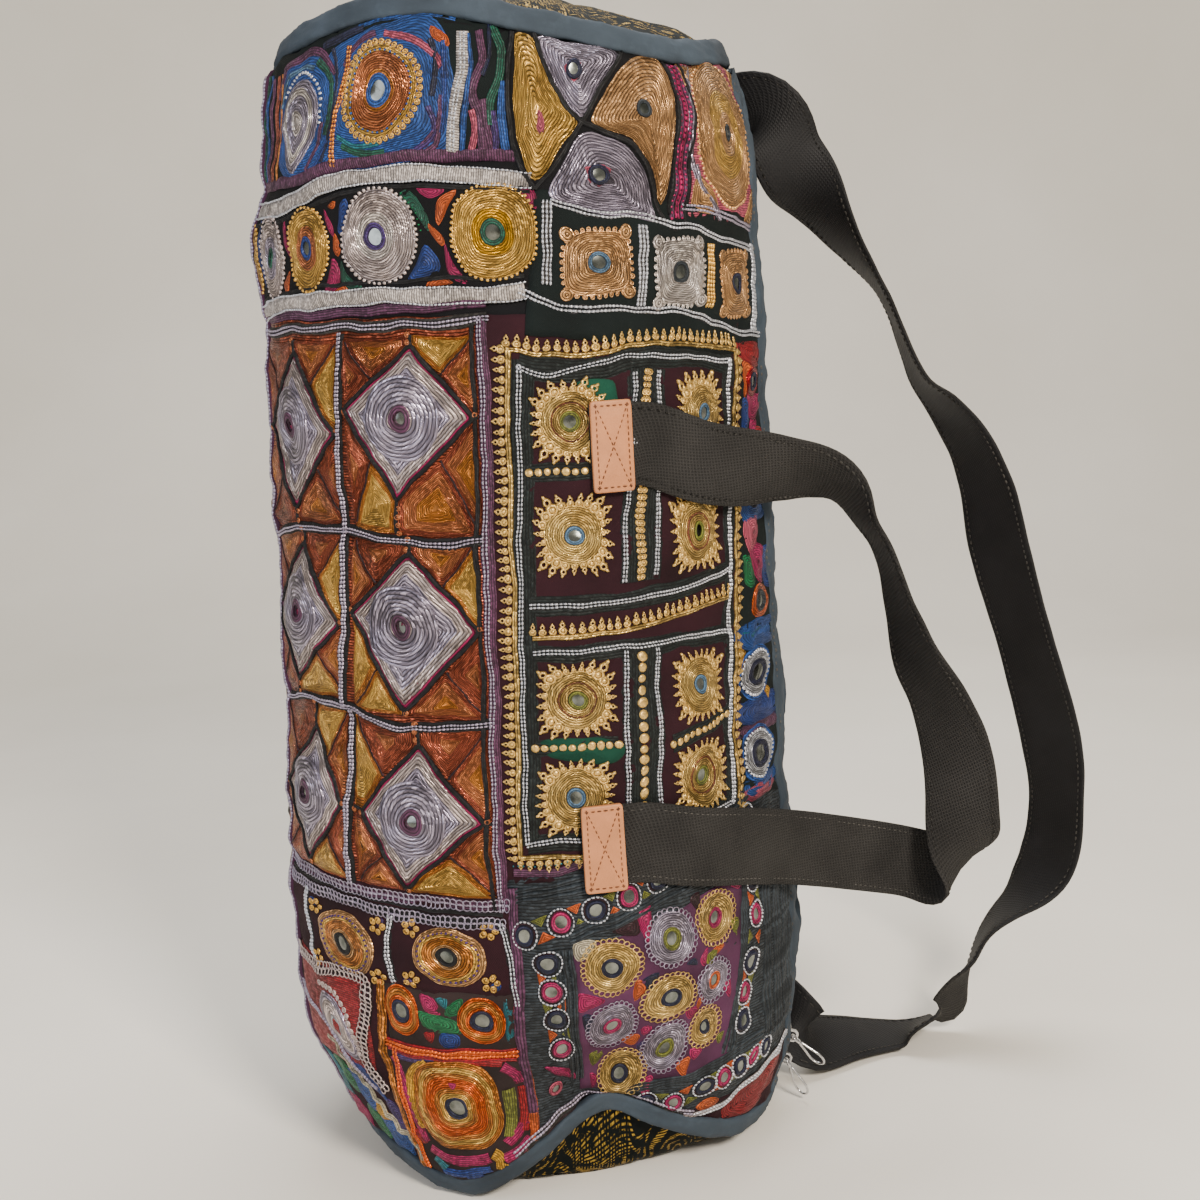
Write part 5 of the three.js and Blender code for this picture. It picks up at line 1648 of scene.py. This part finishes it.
def lower_corner(w):
    """Bottom right: a silver-pink rope over a red scrap, and silver lines along the seam."""
    w.ground("60,8 166,8 166,50 60,34", "maroon", 0.55)
    w.pad(through("100,38 118,42 148,48 152,30 130,22 104,24", 3, True), "red", 0.8, "silk")
    rope = places("70,33 92,34 104,36 110,42 130,46 158,52")
    w.line(rope, 6.5, "ink", "cord", 0.9)
    w.line(rope, 4, "blush", "silk", 1.3)
    w.chain(rope, "bright", 2, 1.1, 1.4)
    w.pad(through("82,38 90,42 96,38 88,34", 1.5, True), "orange", 1.0, "silk", 0, 2)
    seam = places("-22,26 -10,34 4,44 24,49 44,46 60,40 80,33")
    w.line([(x, y + 2) for x, y in seam], 6, "charcoal", "cord", 0.9)
    w.chain([(x, y + 3) for x, y in seam], "silver", 2, 1.2, 1.2)
    w.line([(x, y - 3) for x, y in seam], 4, "maroon", "silk", 0.9)


FRONT_LEFT = -158.0
BACK_LEFT = -478.0
FRONT_PATCHES = (blue_medallions, circle_band, quartered_patch, knobbed_squares, diamond_patch, sun_patch,
                 side_strip, chain_bands, red_corner, orange_rings, big_medallion, mirror_grid, lower_corner)


# Straps
class Strap:
    """A flat strap of the frame as a smooth surface: millimetres along it, across it and out of it."""

    CORNER = math.radians(315)

    def __init__(self, node):
        mesh = welded(node)
        ends = [v for v in mesh.verts if sum(loop.calc_angle() for loop in v.link_loops) < self.CORNER]
        top = max(ends, key=lambda v: v.co.z)
        layer = sorted(ends, key=lambda v: (v.co - top.co).length)[:4]
        seen, middles, widths = set(), [], []
        while layer:
            seen.update(v.index for v in layer)
            points = np.array([v.co for v in layer]) / MM
            middle = points.mean(0)
            width = np.linalg.svd(points - middle)[2][0]
            if width @ (widths[-1] if widths else np.array([0, 0, 1.0])) < 0:
                width = -width
            middles.append(middle)
            widths.append(width)
            near = {e.other_vert(v) for v in layer for e in v.link_edges}
            layer = [v for v in near if v.index not in seen]
        spread = points @ width
        self.width = spread.max() - spread.min()
        mesh.free()
        middles, widths = np.array(middles), np.array(widths)
        runs = np.concatenate([[0], np.cumsum(np.linalg.norm(np.diff(middles, axis=0), axis=1))])
        self.length = runs[-1]
        self.at = np.linspace(0, self.length, max(8, round(self.length)))
        pick = lambda values: np.stack([np.interp(self.at, runs, values[:, k]) for k in range(3)], 1)
        self.middles = blurred(pick(middles), 5, 0, False)
        self.middles[0], self.middles[-1] = middles[0], middles[-1]
        self.widths = blurred(pick(widths), 5, 0, False)
        along = np.gradient(self.middles, axis=0)
        self.along = along / np.linalg.norm(along, axis=1, keepdims=True)
        self.widths -= self.along * (self.widths * self.along).sum(1, keepdims=True)
        self.widths /= np.linalg.norm(self.widths, axis=1, keepdims=True)

    def wrap(self, points):
        """Points (along, across, out) in millimetres, laid on the strap in metres."""
        pick = lambda values: np.stack([np.interp(points[:, 0], self.at, values[:, k]) for k in range(3)], 1)
        middle, width, along = pick(self.middles), pick(self.widths), pick(self.along)
        out = np.cross(width, along)
        return (middle + width * points[:, 1:2] + out * points[:, 2:3]) * MM


def webbing(node, name, faces, thick=2.2):
    """A strap with turned hems, stitched along both edges; faces are the finishes of its two sides."""
    sizes = settings()[1]
    strap = Strap(node)
    half, hem = strap.width / 2, sizes.hem / MM
    seam = (half - hem) / half
    across = np.array([-1, -0.985, -0.94, -seam - 0.02, -seam + 0.03, -0.5, 0,
                       0.5, seam - 0.03, seam + 0.02, 0.94, 0.985, 1]) * half
    rise = np.array([0, 0.62, 0.98, 0.86, 1.0, 1.08, 1.1, 1.08, 1.0, 0.86, 0.98, 0.62, 0]) * thick / 2
    ring_across = np.concatenate([across, across[-2:0:-1]])
    ring_out = np.concatenate([-rise, rise[-2:0:-1]])
    along = np.linspace(0, strap.length, max(4, round(strap.length * MM / sizes.step)))
    u, v = np.meshgrid(along, ring_across, indexing="ij")
    grid = np.dstack([u, v, ring_out + 0.22 * ripples(u, v, 24, 5)])
    unrolled = np.concatenate([across, -across[-2:0:-1] + 2 * half, [3 * half]])
    uv = np.stack(np.broadcast_arrays(along[:, None], unrolled), -1)
    mesh = grid_mesh(name, laid(strap, grid), uv, closed=True, flip=True, caps=True)
    rows, columns = u.shape
    back = np.append(np.tile(np.arange(columns) >= len(across) - 1, rows - 1), [False, False])
    piece(name, mesh, faces, (node,))
    mesh.polygons.foreach_set("material_index", back.astype(np.int32))
    seams = []
    for edge in (-1, 1):
        for face in (-1, 1):
            path = np.column_stack([along, np.full(len(along), edge * (half - hem))])
            seams.append(seam_row(path, face * (thick / 2 * 0.9), "webbing"))
    sewn_rows(name + "_seams", "seam", seams, strap, "seam", None, sizes.seam_stitch / MM)


# Operators
class BAG_OT_patchwork(bpy.types.Operator):
    """Sew the patchwork sleeve with all its needlework"""

    bl_idname = "bag.patchwork"
    bl_label = "Patchwork sleeve"

    HEIGHTS = 573.0
    HEM = 1.0
    NAMES = {"ground": "ground_patches", "silk": "silk_needlework", "metal": "metal_needlework",
             "cord": "outline_cords", "mirror": "mirror_pieces"}

    def execute(self, context):
        cloth = settings()[0]
        sleeve = Sleeve()
        SHARED["sleeve"] = sleeve
        work = Needlework()
        for patch in FRONT_PATCHES:
            patch(work)
        turned = lambda p: np.stack([2 * FRONT_LEFT - p[:, 0], self.HEIGHTS - p[:, 1]], 1)
        work.repeat(turned, (BACK_LEFT, FRONT_LEFT))
        edge = self.edges(sleeve)
        work.repeat(lambda p: p + np.array([edge[0] - FRONT_LEFT, 0]), (edge[0], BACK_LEFT))
        for x in (FRONT_LEFT, BACK_LEFT):
            ribbon = [(x, 0), (x, 280), (x, 570)]
            work.line(ribbon, 9, "plum", "ground", 1.6)
            work.chain(ribbon, "silver", 2, 1.2, 1.9)
        front, rear = (node_span(sleeve, node)[0] for node in ("front_zip_facing", "rear_zip_facing"))
        ends = (rear[1] - cloth.girth / MM - self.HEM, front[0] + self.HEM)
        keep = lambda p: self.inside(sleeve, p, ends)
        self.base(sleeve, cloth, edge)
        for finish_name, mesh in work.meshes(sleeve, keep, ends):
            piece(self.NAMES[finish_name], mesh, [finish_name])
        for kind, rows in work.rows.items():
            sewn_rows(kind + "_stitches", kind, rows, sleeve, "link", keep)
        return {"FINISHED"}

    @staticmethod
    def edges(sleeve):
        """Where the wall starts behind the zip and ends before it, in millimetres round the bag."""
        spots = [v.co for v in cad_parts["patchwork_wall"].data.vertices]
        angles = np.degrees(np.arctan2([p.x for p in spots], [-p.y for p in spots]))
        shift = np.where(angles > ZIP_ANGLE, angles - 360, angles)
        return sleeve.around(shift.min()), sleeve.around(shift.max())

    @staticmethod
    def inside(sleeve, points, ends):
        """Which flat points lie between the ends and between the seams."""
        around, up = points[:, 0], points[:, 1]
        low, high = sleeve.seams(around)
        return (around > ends[0]) & (around < ends[1]) & (up > low - 1) & (up < high + 1)

    @staticmethod
    def base(sleeve, cloth, edge):
        """The cloth under everything, hollow and as thick as the real one."""
        cell = cloth.cell / MM
        low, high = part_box("patchwork_wall")
        columns = round((edge[1] - edge[0]) / cell)
        rows = round((high.z - low.z) / MM / cell)
        around, share = np.meshgrid(np.linspace(*edge, columns + 1), np.linspace(0, 1, rows + 1))
        bottom, top = sleeve.seams(around)
        outer = np.dstack([around, bottom + (top - bottom) * share, np.full(around.shape, -0.35)])
        inner = outer + np.array([0, 0, -2.0])
        points = np.concatenate([outer, inner[::-1]], 0).reshape(-1, 3)
        loops = quads(2 * rows + 3, columns + 1, False)[0] % len(points)
        row = np.arange(rows)
        side = np.stack([row, row + 1, 2 * rows - row, 2 * rows + 1 - row], 1) * (columns + 1)
        loops = np.vstack([loops, side, side[:, ::-1] + columns])
        corners, totals = loops.ravel(), np.full(len(loops), 4)
        colours = np.repeat([tint("ink")], len(corners), 0)
        mesh = mesh_of("sleeve", sleeve.wrap(points), corners, totals, points[corners, :2], colours)
        piece("patchwork_sleeve", mesh, ["ground"], ("patchwork_wall",))


SHARED = {}
ZIP_ANGLE = 85.0


def laid_sleeve():
    """The sleeve that the patchwork was laid on, which is made first."""
    if "sleeve" not in SHARED:
        raise RuntimeError("The patchwork sleeve has to be made before the pieces that lie on it")
    return SHARED["sleeve"]


class EvenSurface:
    """The sleeve's face without its fine creases, for stiff pieces."""

    def wrap(self, points):
        return laid_sleeve().wrap(points, False)


def node_span(sleeve, node):
    """A node's reach round the bag, up it and out of its face, in millimetres."""
    spots = np.array([v.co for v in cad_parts[node].data.vertices]) / MM
    around = sleeve.around(np.degrees(np.arctan2(spots[:, 0], -spots[:, 1])))
    out = np.hypot(spots[:, 0], spots[:, 1]) - sleeve.radius(around, spots[:, 2])
    return (around.min(), around.max()), (spots[:, 2].min(), spots[:, 2].max()), (out.min(), out.max())


class BAG_OT_zip(bpy.types.Operator):
    """Make the zip: two canvas facings, tape, coil, sliders and wire pulls"""

    bl_idname = "bag.zip"
    bl_label = "Zip"

    WELD = ("WELD", {"merge_threshold": 1e-6})
    BEVEL = ("BEVEL", {"width": 0.00025, "segments": 2})
    ROUND = ("SUBSURF", {"levels": 1, "render_levels": 1})

    def execute(self, context):
        sizes = settings()[1]
        sleeve = laid_sleeve()
        for node, sign in (("front_zip_facing", 1), ("rear_zip_facing", -1)):
            self.facing(sleeve, node, sign)
        middle = sleeve.around(ZIP_ANGLE)
        low, high = sleeve.seams(np.array([middle]))
        rows = []
        for side in (-1, 1):
            level = np.arange(low[0] + 8, high[0] - 8, 3.0) + 0.75 * (side > 0)
            path = np.column_stack([np.full(len(level), middle + 1.25 * side), level])
            rows.append(seam_row(path, -2.1, "coil"))
        sewn_rows("zip_teeth", "zip_tooth", rows, sleeve, "coil", None, sizes.tooth / MM,
                  ("zip_coil",))
        self.keep("zip_tape", "coil")
        for node in ("lower_slider", "upper_slider"):
            self.modify(self.keep(node, "nickel"), self.WELD, self.BEVEL)
        for node in ("lower_zip_pull", "upper_zip_pull"):
            thing = self.keep(node, "nickel")
            self.modify(thing, self.WELD, self.ROUND)
            thing.data.shade_smooth()
        return {"FINISHED"}

    @staticmethod
    def keep(node, finish_name):
        """A frame node that stays, in a better finish."""
        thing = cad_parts[node]
        thing.data.materials.clear()
        thing.data.materials.append(finish(finish_name))
        return thing

    @staticmethod
    def modify(thing, *steps):
        """Modifiers with their values set."""
        for kind, values in steps:
            made = thing.modifiers.new(kind.capitalize(), kind)
            for key, value in values.items():
                setattr(made, key, value)

    @staticmethod
    def facing(sleeve, node, sign):
        """A canvas strip folded over towards the zip; sign is 1 where the zip lies at its far edge."""
        (left, right), _, _ = node_span(sleeve, node)
        width = right - left
        share = np.array([0, 0.005, 0.03, 0.12, 0.2, 0.24, 0.4, 0.6, 0.8, 0.93, 0.985, 1, 1, 0.9])
        rise = np.array([-1.5, 0.5, 1.0, 1.1, 0.75, 1.15, 1.3, 1.35, 1.3, 1.1, 0.5, -0.4, -1.6, -2.0])
        s, t = np.meshgrid(share, np.linspace(0, 1, 180))
        around = (left + s * width) if sign > 0 else (right - s * width)
        bottom, top = sleeve.seams(around)
        up = bottom + (top - bottom) * t
        out = np.broadcast_to(rise, up.shape) + 0.5 * ripples(around, up * 1.6, 26, 11) * (s > 0.01) * (s < 1)
        lift = np.exp(-(((up - 120) / 45) ** 2)) if sign < 0 else np.exp(-(((up - 120) / 60) ** 2)) * 0.25
        grid = np.dstack([around, up, out + 3.2 * lift * s * (rise > 0)])
        mesh = grid_mesh(node, laid(sleeve, grid), np.dstack([up, around]), flip=sign < 0)
        name = node.replace("zip_", "")
        piece(name + "_cloth", mesh, ["canvas"], (node,))
        level = np.linspace(bottom[0, 0] + 4, top[-1, 0] - 4, 150)
        x = left + 0.22 * width if sign > 0 else right - 0.22 * width
        seam = seam_row(np.column_stack([np.full(len(level), x), level]), 0.95, "facing", 0.9)
        sewn_rows(name + "_seam", "seam", [seam], sleeve, "seam")


class BAG_OT_ends(bpy.types.Operator):
    """Make the brocade end panels and the canvas bindings round both end seams"""

    bl_idname = "bag.ends"
    bl_label = "Ends and bindings"

    def execute(self, context):
        for node, name in (("top_binding", "top_seam_binding"), ("lower_binding", "lower_seam_binding")):
            self.binding(node, name)
        self.panel("top_end_panel", "top_brocade", 300)
        self.panel("lower_end_panel", "lower_brocade", 260)
        return {"FINISHED"}

    @staticmethod
    def sections(node):
        """Angles of a ring's sections, and for each its points as distance and height in millimetres."""
        spots = spots_of(node)
        angles = np.degrees(np.arctan2(spots[:, 0], -spots[:, 1])) % 360
        polar = np.column_stack([np.hypot(spots[:, 0], spots[:, 1]), spots[:, 2]])
        order = np.argsort(angles)
        groups = np.split(order, np.flatnonzero(np.diff(angles[order]) > 0.05) + 1)
        groups = [g for g in groups if len(g) >= 6]
        return np.array([angles[g].mean() for g in groups]), [polar[g] for g in groups]

    def binding(self, node, name):
        """A folded canvas strip on the frame's ring, with soft folds and a lump where it meets the zip."""
        angles, groups = self.sections(node)
        middles = np.array([g.mean(0) for g in groups])
        shape = groups[0] - middles[0]
        shape = shape[np.argsort(np.arctan2(shape[:, 1], shape[:, 0]))]
        outline = through(shape, 1.5, True)
        turn = np.linspace(0, 360, 260, endpoint=False)
        pick = lambda column: np.interp(turn, angles, middles[:, column], period=360.0)
        radius, level = blurred(pick(0), 1.5, 0, True), blurred(pick(1), 1.5, 0, True)
        along = turn / 360 * settings()[0].girth / MM
        lump = 1 + 0.22 * np.exp(-(((turn - ZIP_ANGLE) / 7) ** 2))
        rad = np.radians(turn)
        rows = []
        for k, (px, py) in enumerate(outline):
            fold = 0.6 * ripples(along, k * 1.6, 22, 21) + 0.4 * ripples(along, k * 2.2, 9, 22)
            grow = 1.05 * lump + fold * 0.1
            reach = radius + px * grow + 0.3 * fold
            rows.append(np.column_stack([reach * np.sin(rad), -reach * np.cos(rad), level + py * grow]))
        uv = np.stack(np.meshgrid(np.arange(len(turn) + 1) * 3.0, np.arange(len(outline) + 1) * 1.5), -1)
        mesh = grid_mesh(name, np.array(rows) * MM, uv, closed=True, flip=True, ring=True)
        piece(name, mesh, ["canvas"], (node,))

    @staticmethod
    def panel(node, name, heart):
        """An end panel with the frame's form, finer and softly puckered away from a height inside the bag."""
        mesh = welded(node)
        bmesh.ops.subdivide_edges(mesh, edges=mesh.edges[:], cuts=3, use_grid_fill=True)
        soft = [v for v in mesh.verts if all(e.calc_face_angle(0) < math.radians(40) for e in v.link_edges)]
        axes = {"use_axis_x": True, "use_axis_y": True, "use_axis_z": True}
        for _ in range(8):
            bmesh.ops.smooth_vert(mesh, verts=soft, factor=0.5, **axes)
        spots = np.array([v.co for v in mesh.verts]) / MM
        away = spots - np.array([0, 0, heart])
        away /= np.linalg.norm(away, axis=1, keepdims=True)
        x, y, z = spots.T
        puff = 1.2 * ripples(x, y, 42, 31) + 0.5 * ripples(x, y, 17, 32)
        reach = np.hypot(x, y)
        gathers = 0.9 * ripples(np.arctan2(x, -y) * 90, reach * 0.2, 16, 33)
        gathers = gathers * np.clip((reach - 50) / 40, 0, 1)
        share = np.clip(z / 8, 0, 1) if heart > z.mean() else 1
        moved = spots + away * ((puff + gathers) * share)[:, None]
        for v, spot in zip(mesh.verts, moved):
            v.co = Vector(spot) * MM
            v.co.z = max(v.co.z, 0)
        made = bpy.data.meshes.new(name)
        mesh.to_mesh(made)
        mesh.free()
        corners = np.empty(len(made.loops), np.int32)
        made.loops.foreach_get("vertex_index", corners)
        uv = spots[corners, :2].astype(np.float32)
        made.uv_layers.new(name="UVMap").data.foreach_set("uv", uv.ravel())
        made.shade_smooth()
        piece(name, made, ["brocade"], (node,))


class BAG_OT_straps(bpy.types.Operator):
    """Make the carry handle and the shoulder strap from stitched webbing"""

    bl_idname = "bag.straps"
    bl_label = "Straps"

    def execute(self, context):
        webbing("carry_handle", "handle_webbing", ("twill", "twill"))
        webbing("shoulder_strap", "shoulder_webbing", ("lining", "twill"))
        return {"FINISHED"}


class BAG_OT_leather(bpy.types.Operator):
    """Make the leather patches with their crossed seams"""

    bl_idname = "bag.leather"
    bl_label = "Leather patches"

    INSET = 2.3
    STITCH = 2.5

    def execute(self, context):
        smooth = EvenSurface()
        for node in ("upper_leather_patch", "lower_leather_patch"):
            (left, right), (low, high), (base, top) = node_span(laid_sleeve(), node)
            middle = np.array([(left + right) / 2, (low + high) / 2])
            half = np.array([(right - left) / 2, (high - low) / 2])
            outline = ellipse(0, 0, 1, 1, 0, 88, 18.0)
            shares = np.array([1.0, 1.0, 0.985, 0.95, 0.86, 0.8, 0.6, 0.3, 0.05])
            below = np.array([0.7, 0.15, 0, 0.15, 0, -0.1, -0.15, -0.15])
            rise = np.append(base, top - below)
            grid = layers(middle + outline * half * shares[:, None, None], rise)
            grid[..., 2] += 0.12 * ripples(grid[..., 0], grid[..., 1], 18, 41) * (shares < 0.99)[:, None]
            mesh = grid_mesh(node, laid(smooth, grid), ringed(grid[..., :2]), closed=True, caps=True)
            piece(node.replace("_patch", ""), mesh, ["leather"], (node,))
            inset = half - self.INSET
            corners = [middle + inset * np.array(c) for c in ((-1, -1), (1, -1), (1, 1), (-1, 1))]
            rows = []
            for a, b in ((0, 1), (1, 2), (2, 3), (3, 0), (0, 2), (1, 3)):
                path = evenly([corners[a], corners[b]], 2.0)
                rows.append(seam_row(path, top + 0.2, "leather", 0.95))
            name = node.replace("_patch", "_seams")
            sewn_rows(name, "seam", rows, smooth, "dark_seam", None, self.STITCH)
        return {"FINISHED"}


class BAG_OT_stage(bpy.types.Operator):
    """Set the floor, the lights and the camera"""

    bl_idname = "bag.stage"
    bl_label = "Stage"

    CAMERA = (0.035, -0.870, 0.430)
    PITCH = math.radians(-9.7)
    ROLL = math.radians(3.0)
    LENS = 50.4

    def execute(self, context):
        scene = context.scene
        self.floor()
        world = bpy.data.worlds.new("Studio")
        world.use_nodes = True
        world.node_tree.nodes["Background"].inputs[0].default_value = (*shade("#e9e2d6"), 1)
        world.node_tree.nodes["Background"].inputs[1].default_value = 0.55
        scene.world = world
        lights = (
            ("Key", (0.65, -1.35, 1.15), 0.35, 40, "#fff4e6"),
            ("Fill", (-1.3, -0.9, 0.8), 1.2, 14, "#eef3ff"),
            ("Top", (0.1, 0.5, 1.7), 1.0, 20, "#ffffff"),
        )
        for name, place, size, power, code in lights:
            light = bpy.data.lights.new(name, "AREA")
            light.shape, light.size, light.energy, light.color = "SQUARE", size, power, shade(code)
            lamp = bpy.data.objects.new(name, light)
            lamp.location = place
            lamp.rotation_euler = (Vector((0, 0, 0.3)) - Vector(place)).to_track_quat("-Z", "Y").to_euler()
            scene.collection.objects.link(lamp)
        camera = bpy.data.cameras.new("Camera")
        camera.lens, camera.sensor_width = self.LENS, 36.0
        eye = bpy.data.objects.new("Camera", camera)
        forward = Vector((0, math.cos(self.PITCH), math.sin(self.PITCH)))
        right = Vector((1, 0, 0))
        up = right.cross(forward)
        c, s = math.cos(self.ROLL), math.sin(self.ROLL)
        axes = Matrix((right * c - up * s, right * s + up * c, -forward)).transposed()
        eye.matrix_world = Matrix.Translation(self.CAMERA) @ axes.to_4x4()
        scene.collection.objects.link(eye)
        scene.camera = eye
        return {"FINISHED"}

    @staticmethod
    def floor():
        """A pale floor that rises into a backdrop far behind the bag."""
        s = Shader("pale floor")
        tone = s.mix(s.range(s.noise(3.0, 4.0), 0.3, 0.7), rgba(shade("#e9e4da")), rgba(shade("#f1ede4")))
        s.finish(Base_Color=tone, Roughness=0.9)
        profile = [(-4, 0), (1.2, 0)] + [
            (1.2 + 0.8 * math.sin(t), 0.8 - 0.8 * math.cos(t)) for t in np.linspace(0.1, math.pi / 2, 12)
        ] + [(2.0, 4.0)]
        points = [(x, y, z - 0.0004) for y, z in profile for x in (-5, 5)]
        faces = [(2 * k, 2 * k + 1, 2 * k + 3, 2 * k + 2) for k in range(len(profile) - 1)]
        mesh = bpy.data.meshes.new("Floor")
        mesh.from_pydata(points, [], faces)
        mesh.shade_smooth()
        mesh.materials.append(s.material)
        ground = bpy.data.objects.new("Floor", mesh)
        bpy.context.scene.collection.objects.link(ground)


class BAG_PT_panel(bpy.types.Panel):
    """Sizes, colours and pieces of the bag"""

    bl_idname = "BAG_PT_panel"
    bl_label = "Patchwork travel bag"
    bl_space_type = "VIEW_3D"
    bl_region_type = "UI"
    bl_category = "Bag"

    def draw(self, context):
        for name in ("bag_cloth", "bag_webbing", "bag_threads"):
            group = getattr(context.scene, name)
            box = self.layout.box()
            for key in group.bl_rna.properties.keys():
                if key not in ("rna_type", "name"):
                    box.prop(group, key)
        for operator in OPERATORS:
            self.layout.operator(operator.bl_idname)


OPERATORS = (BAG_OT_stage, BAG_OT_patchwork, BAG_OT_ends, BAG_OT_zip, BAG_OT_straps, BAG_OT_leather)
GROUPS = {"bag_cloth": ClothSizes, "bag_webbing": WebbingSizes, "bag_threads": ThreadColours}


def register():
    for group in GROUPS.values():
        bpy.utils.register_class(group)
    for operator in (*OPERATORS, BAG_PT_panel):
        bpy.utils.register_class(operator)
    for name, group in GROUPS.items():
        setattr(bpy.types.Scene, name, PointerProperty(type=group))


def unregister():
    for name in GROUPS:
        delattr(bpy.types.Scene, name)
    for operator in (BAG_PT_panel, *reversed(OPERATORS)):
        bpy.utils.unregister_class(operator)
    for group in GROUPS.values():
        bpy.utils.unregister_class(group)


def main():
    register()
    for operator in OPERATORS:
        group, name = operator.bl_idname.split(".")
        getattr(getattr(bpy.ops, group), name)()


if __name__ == "__main__":
    main()
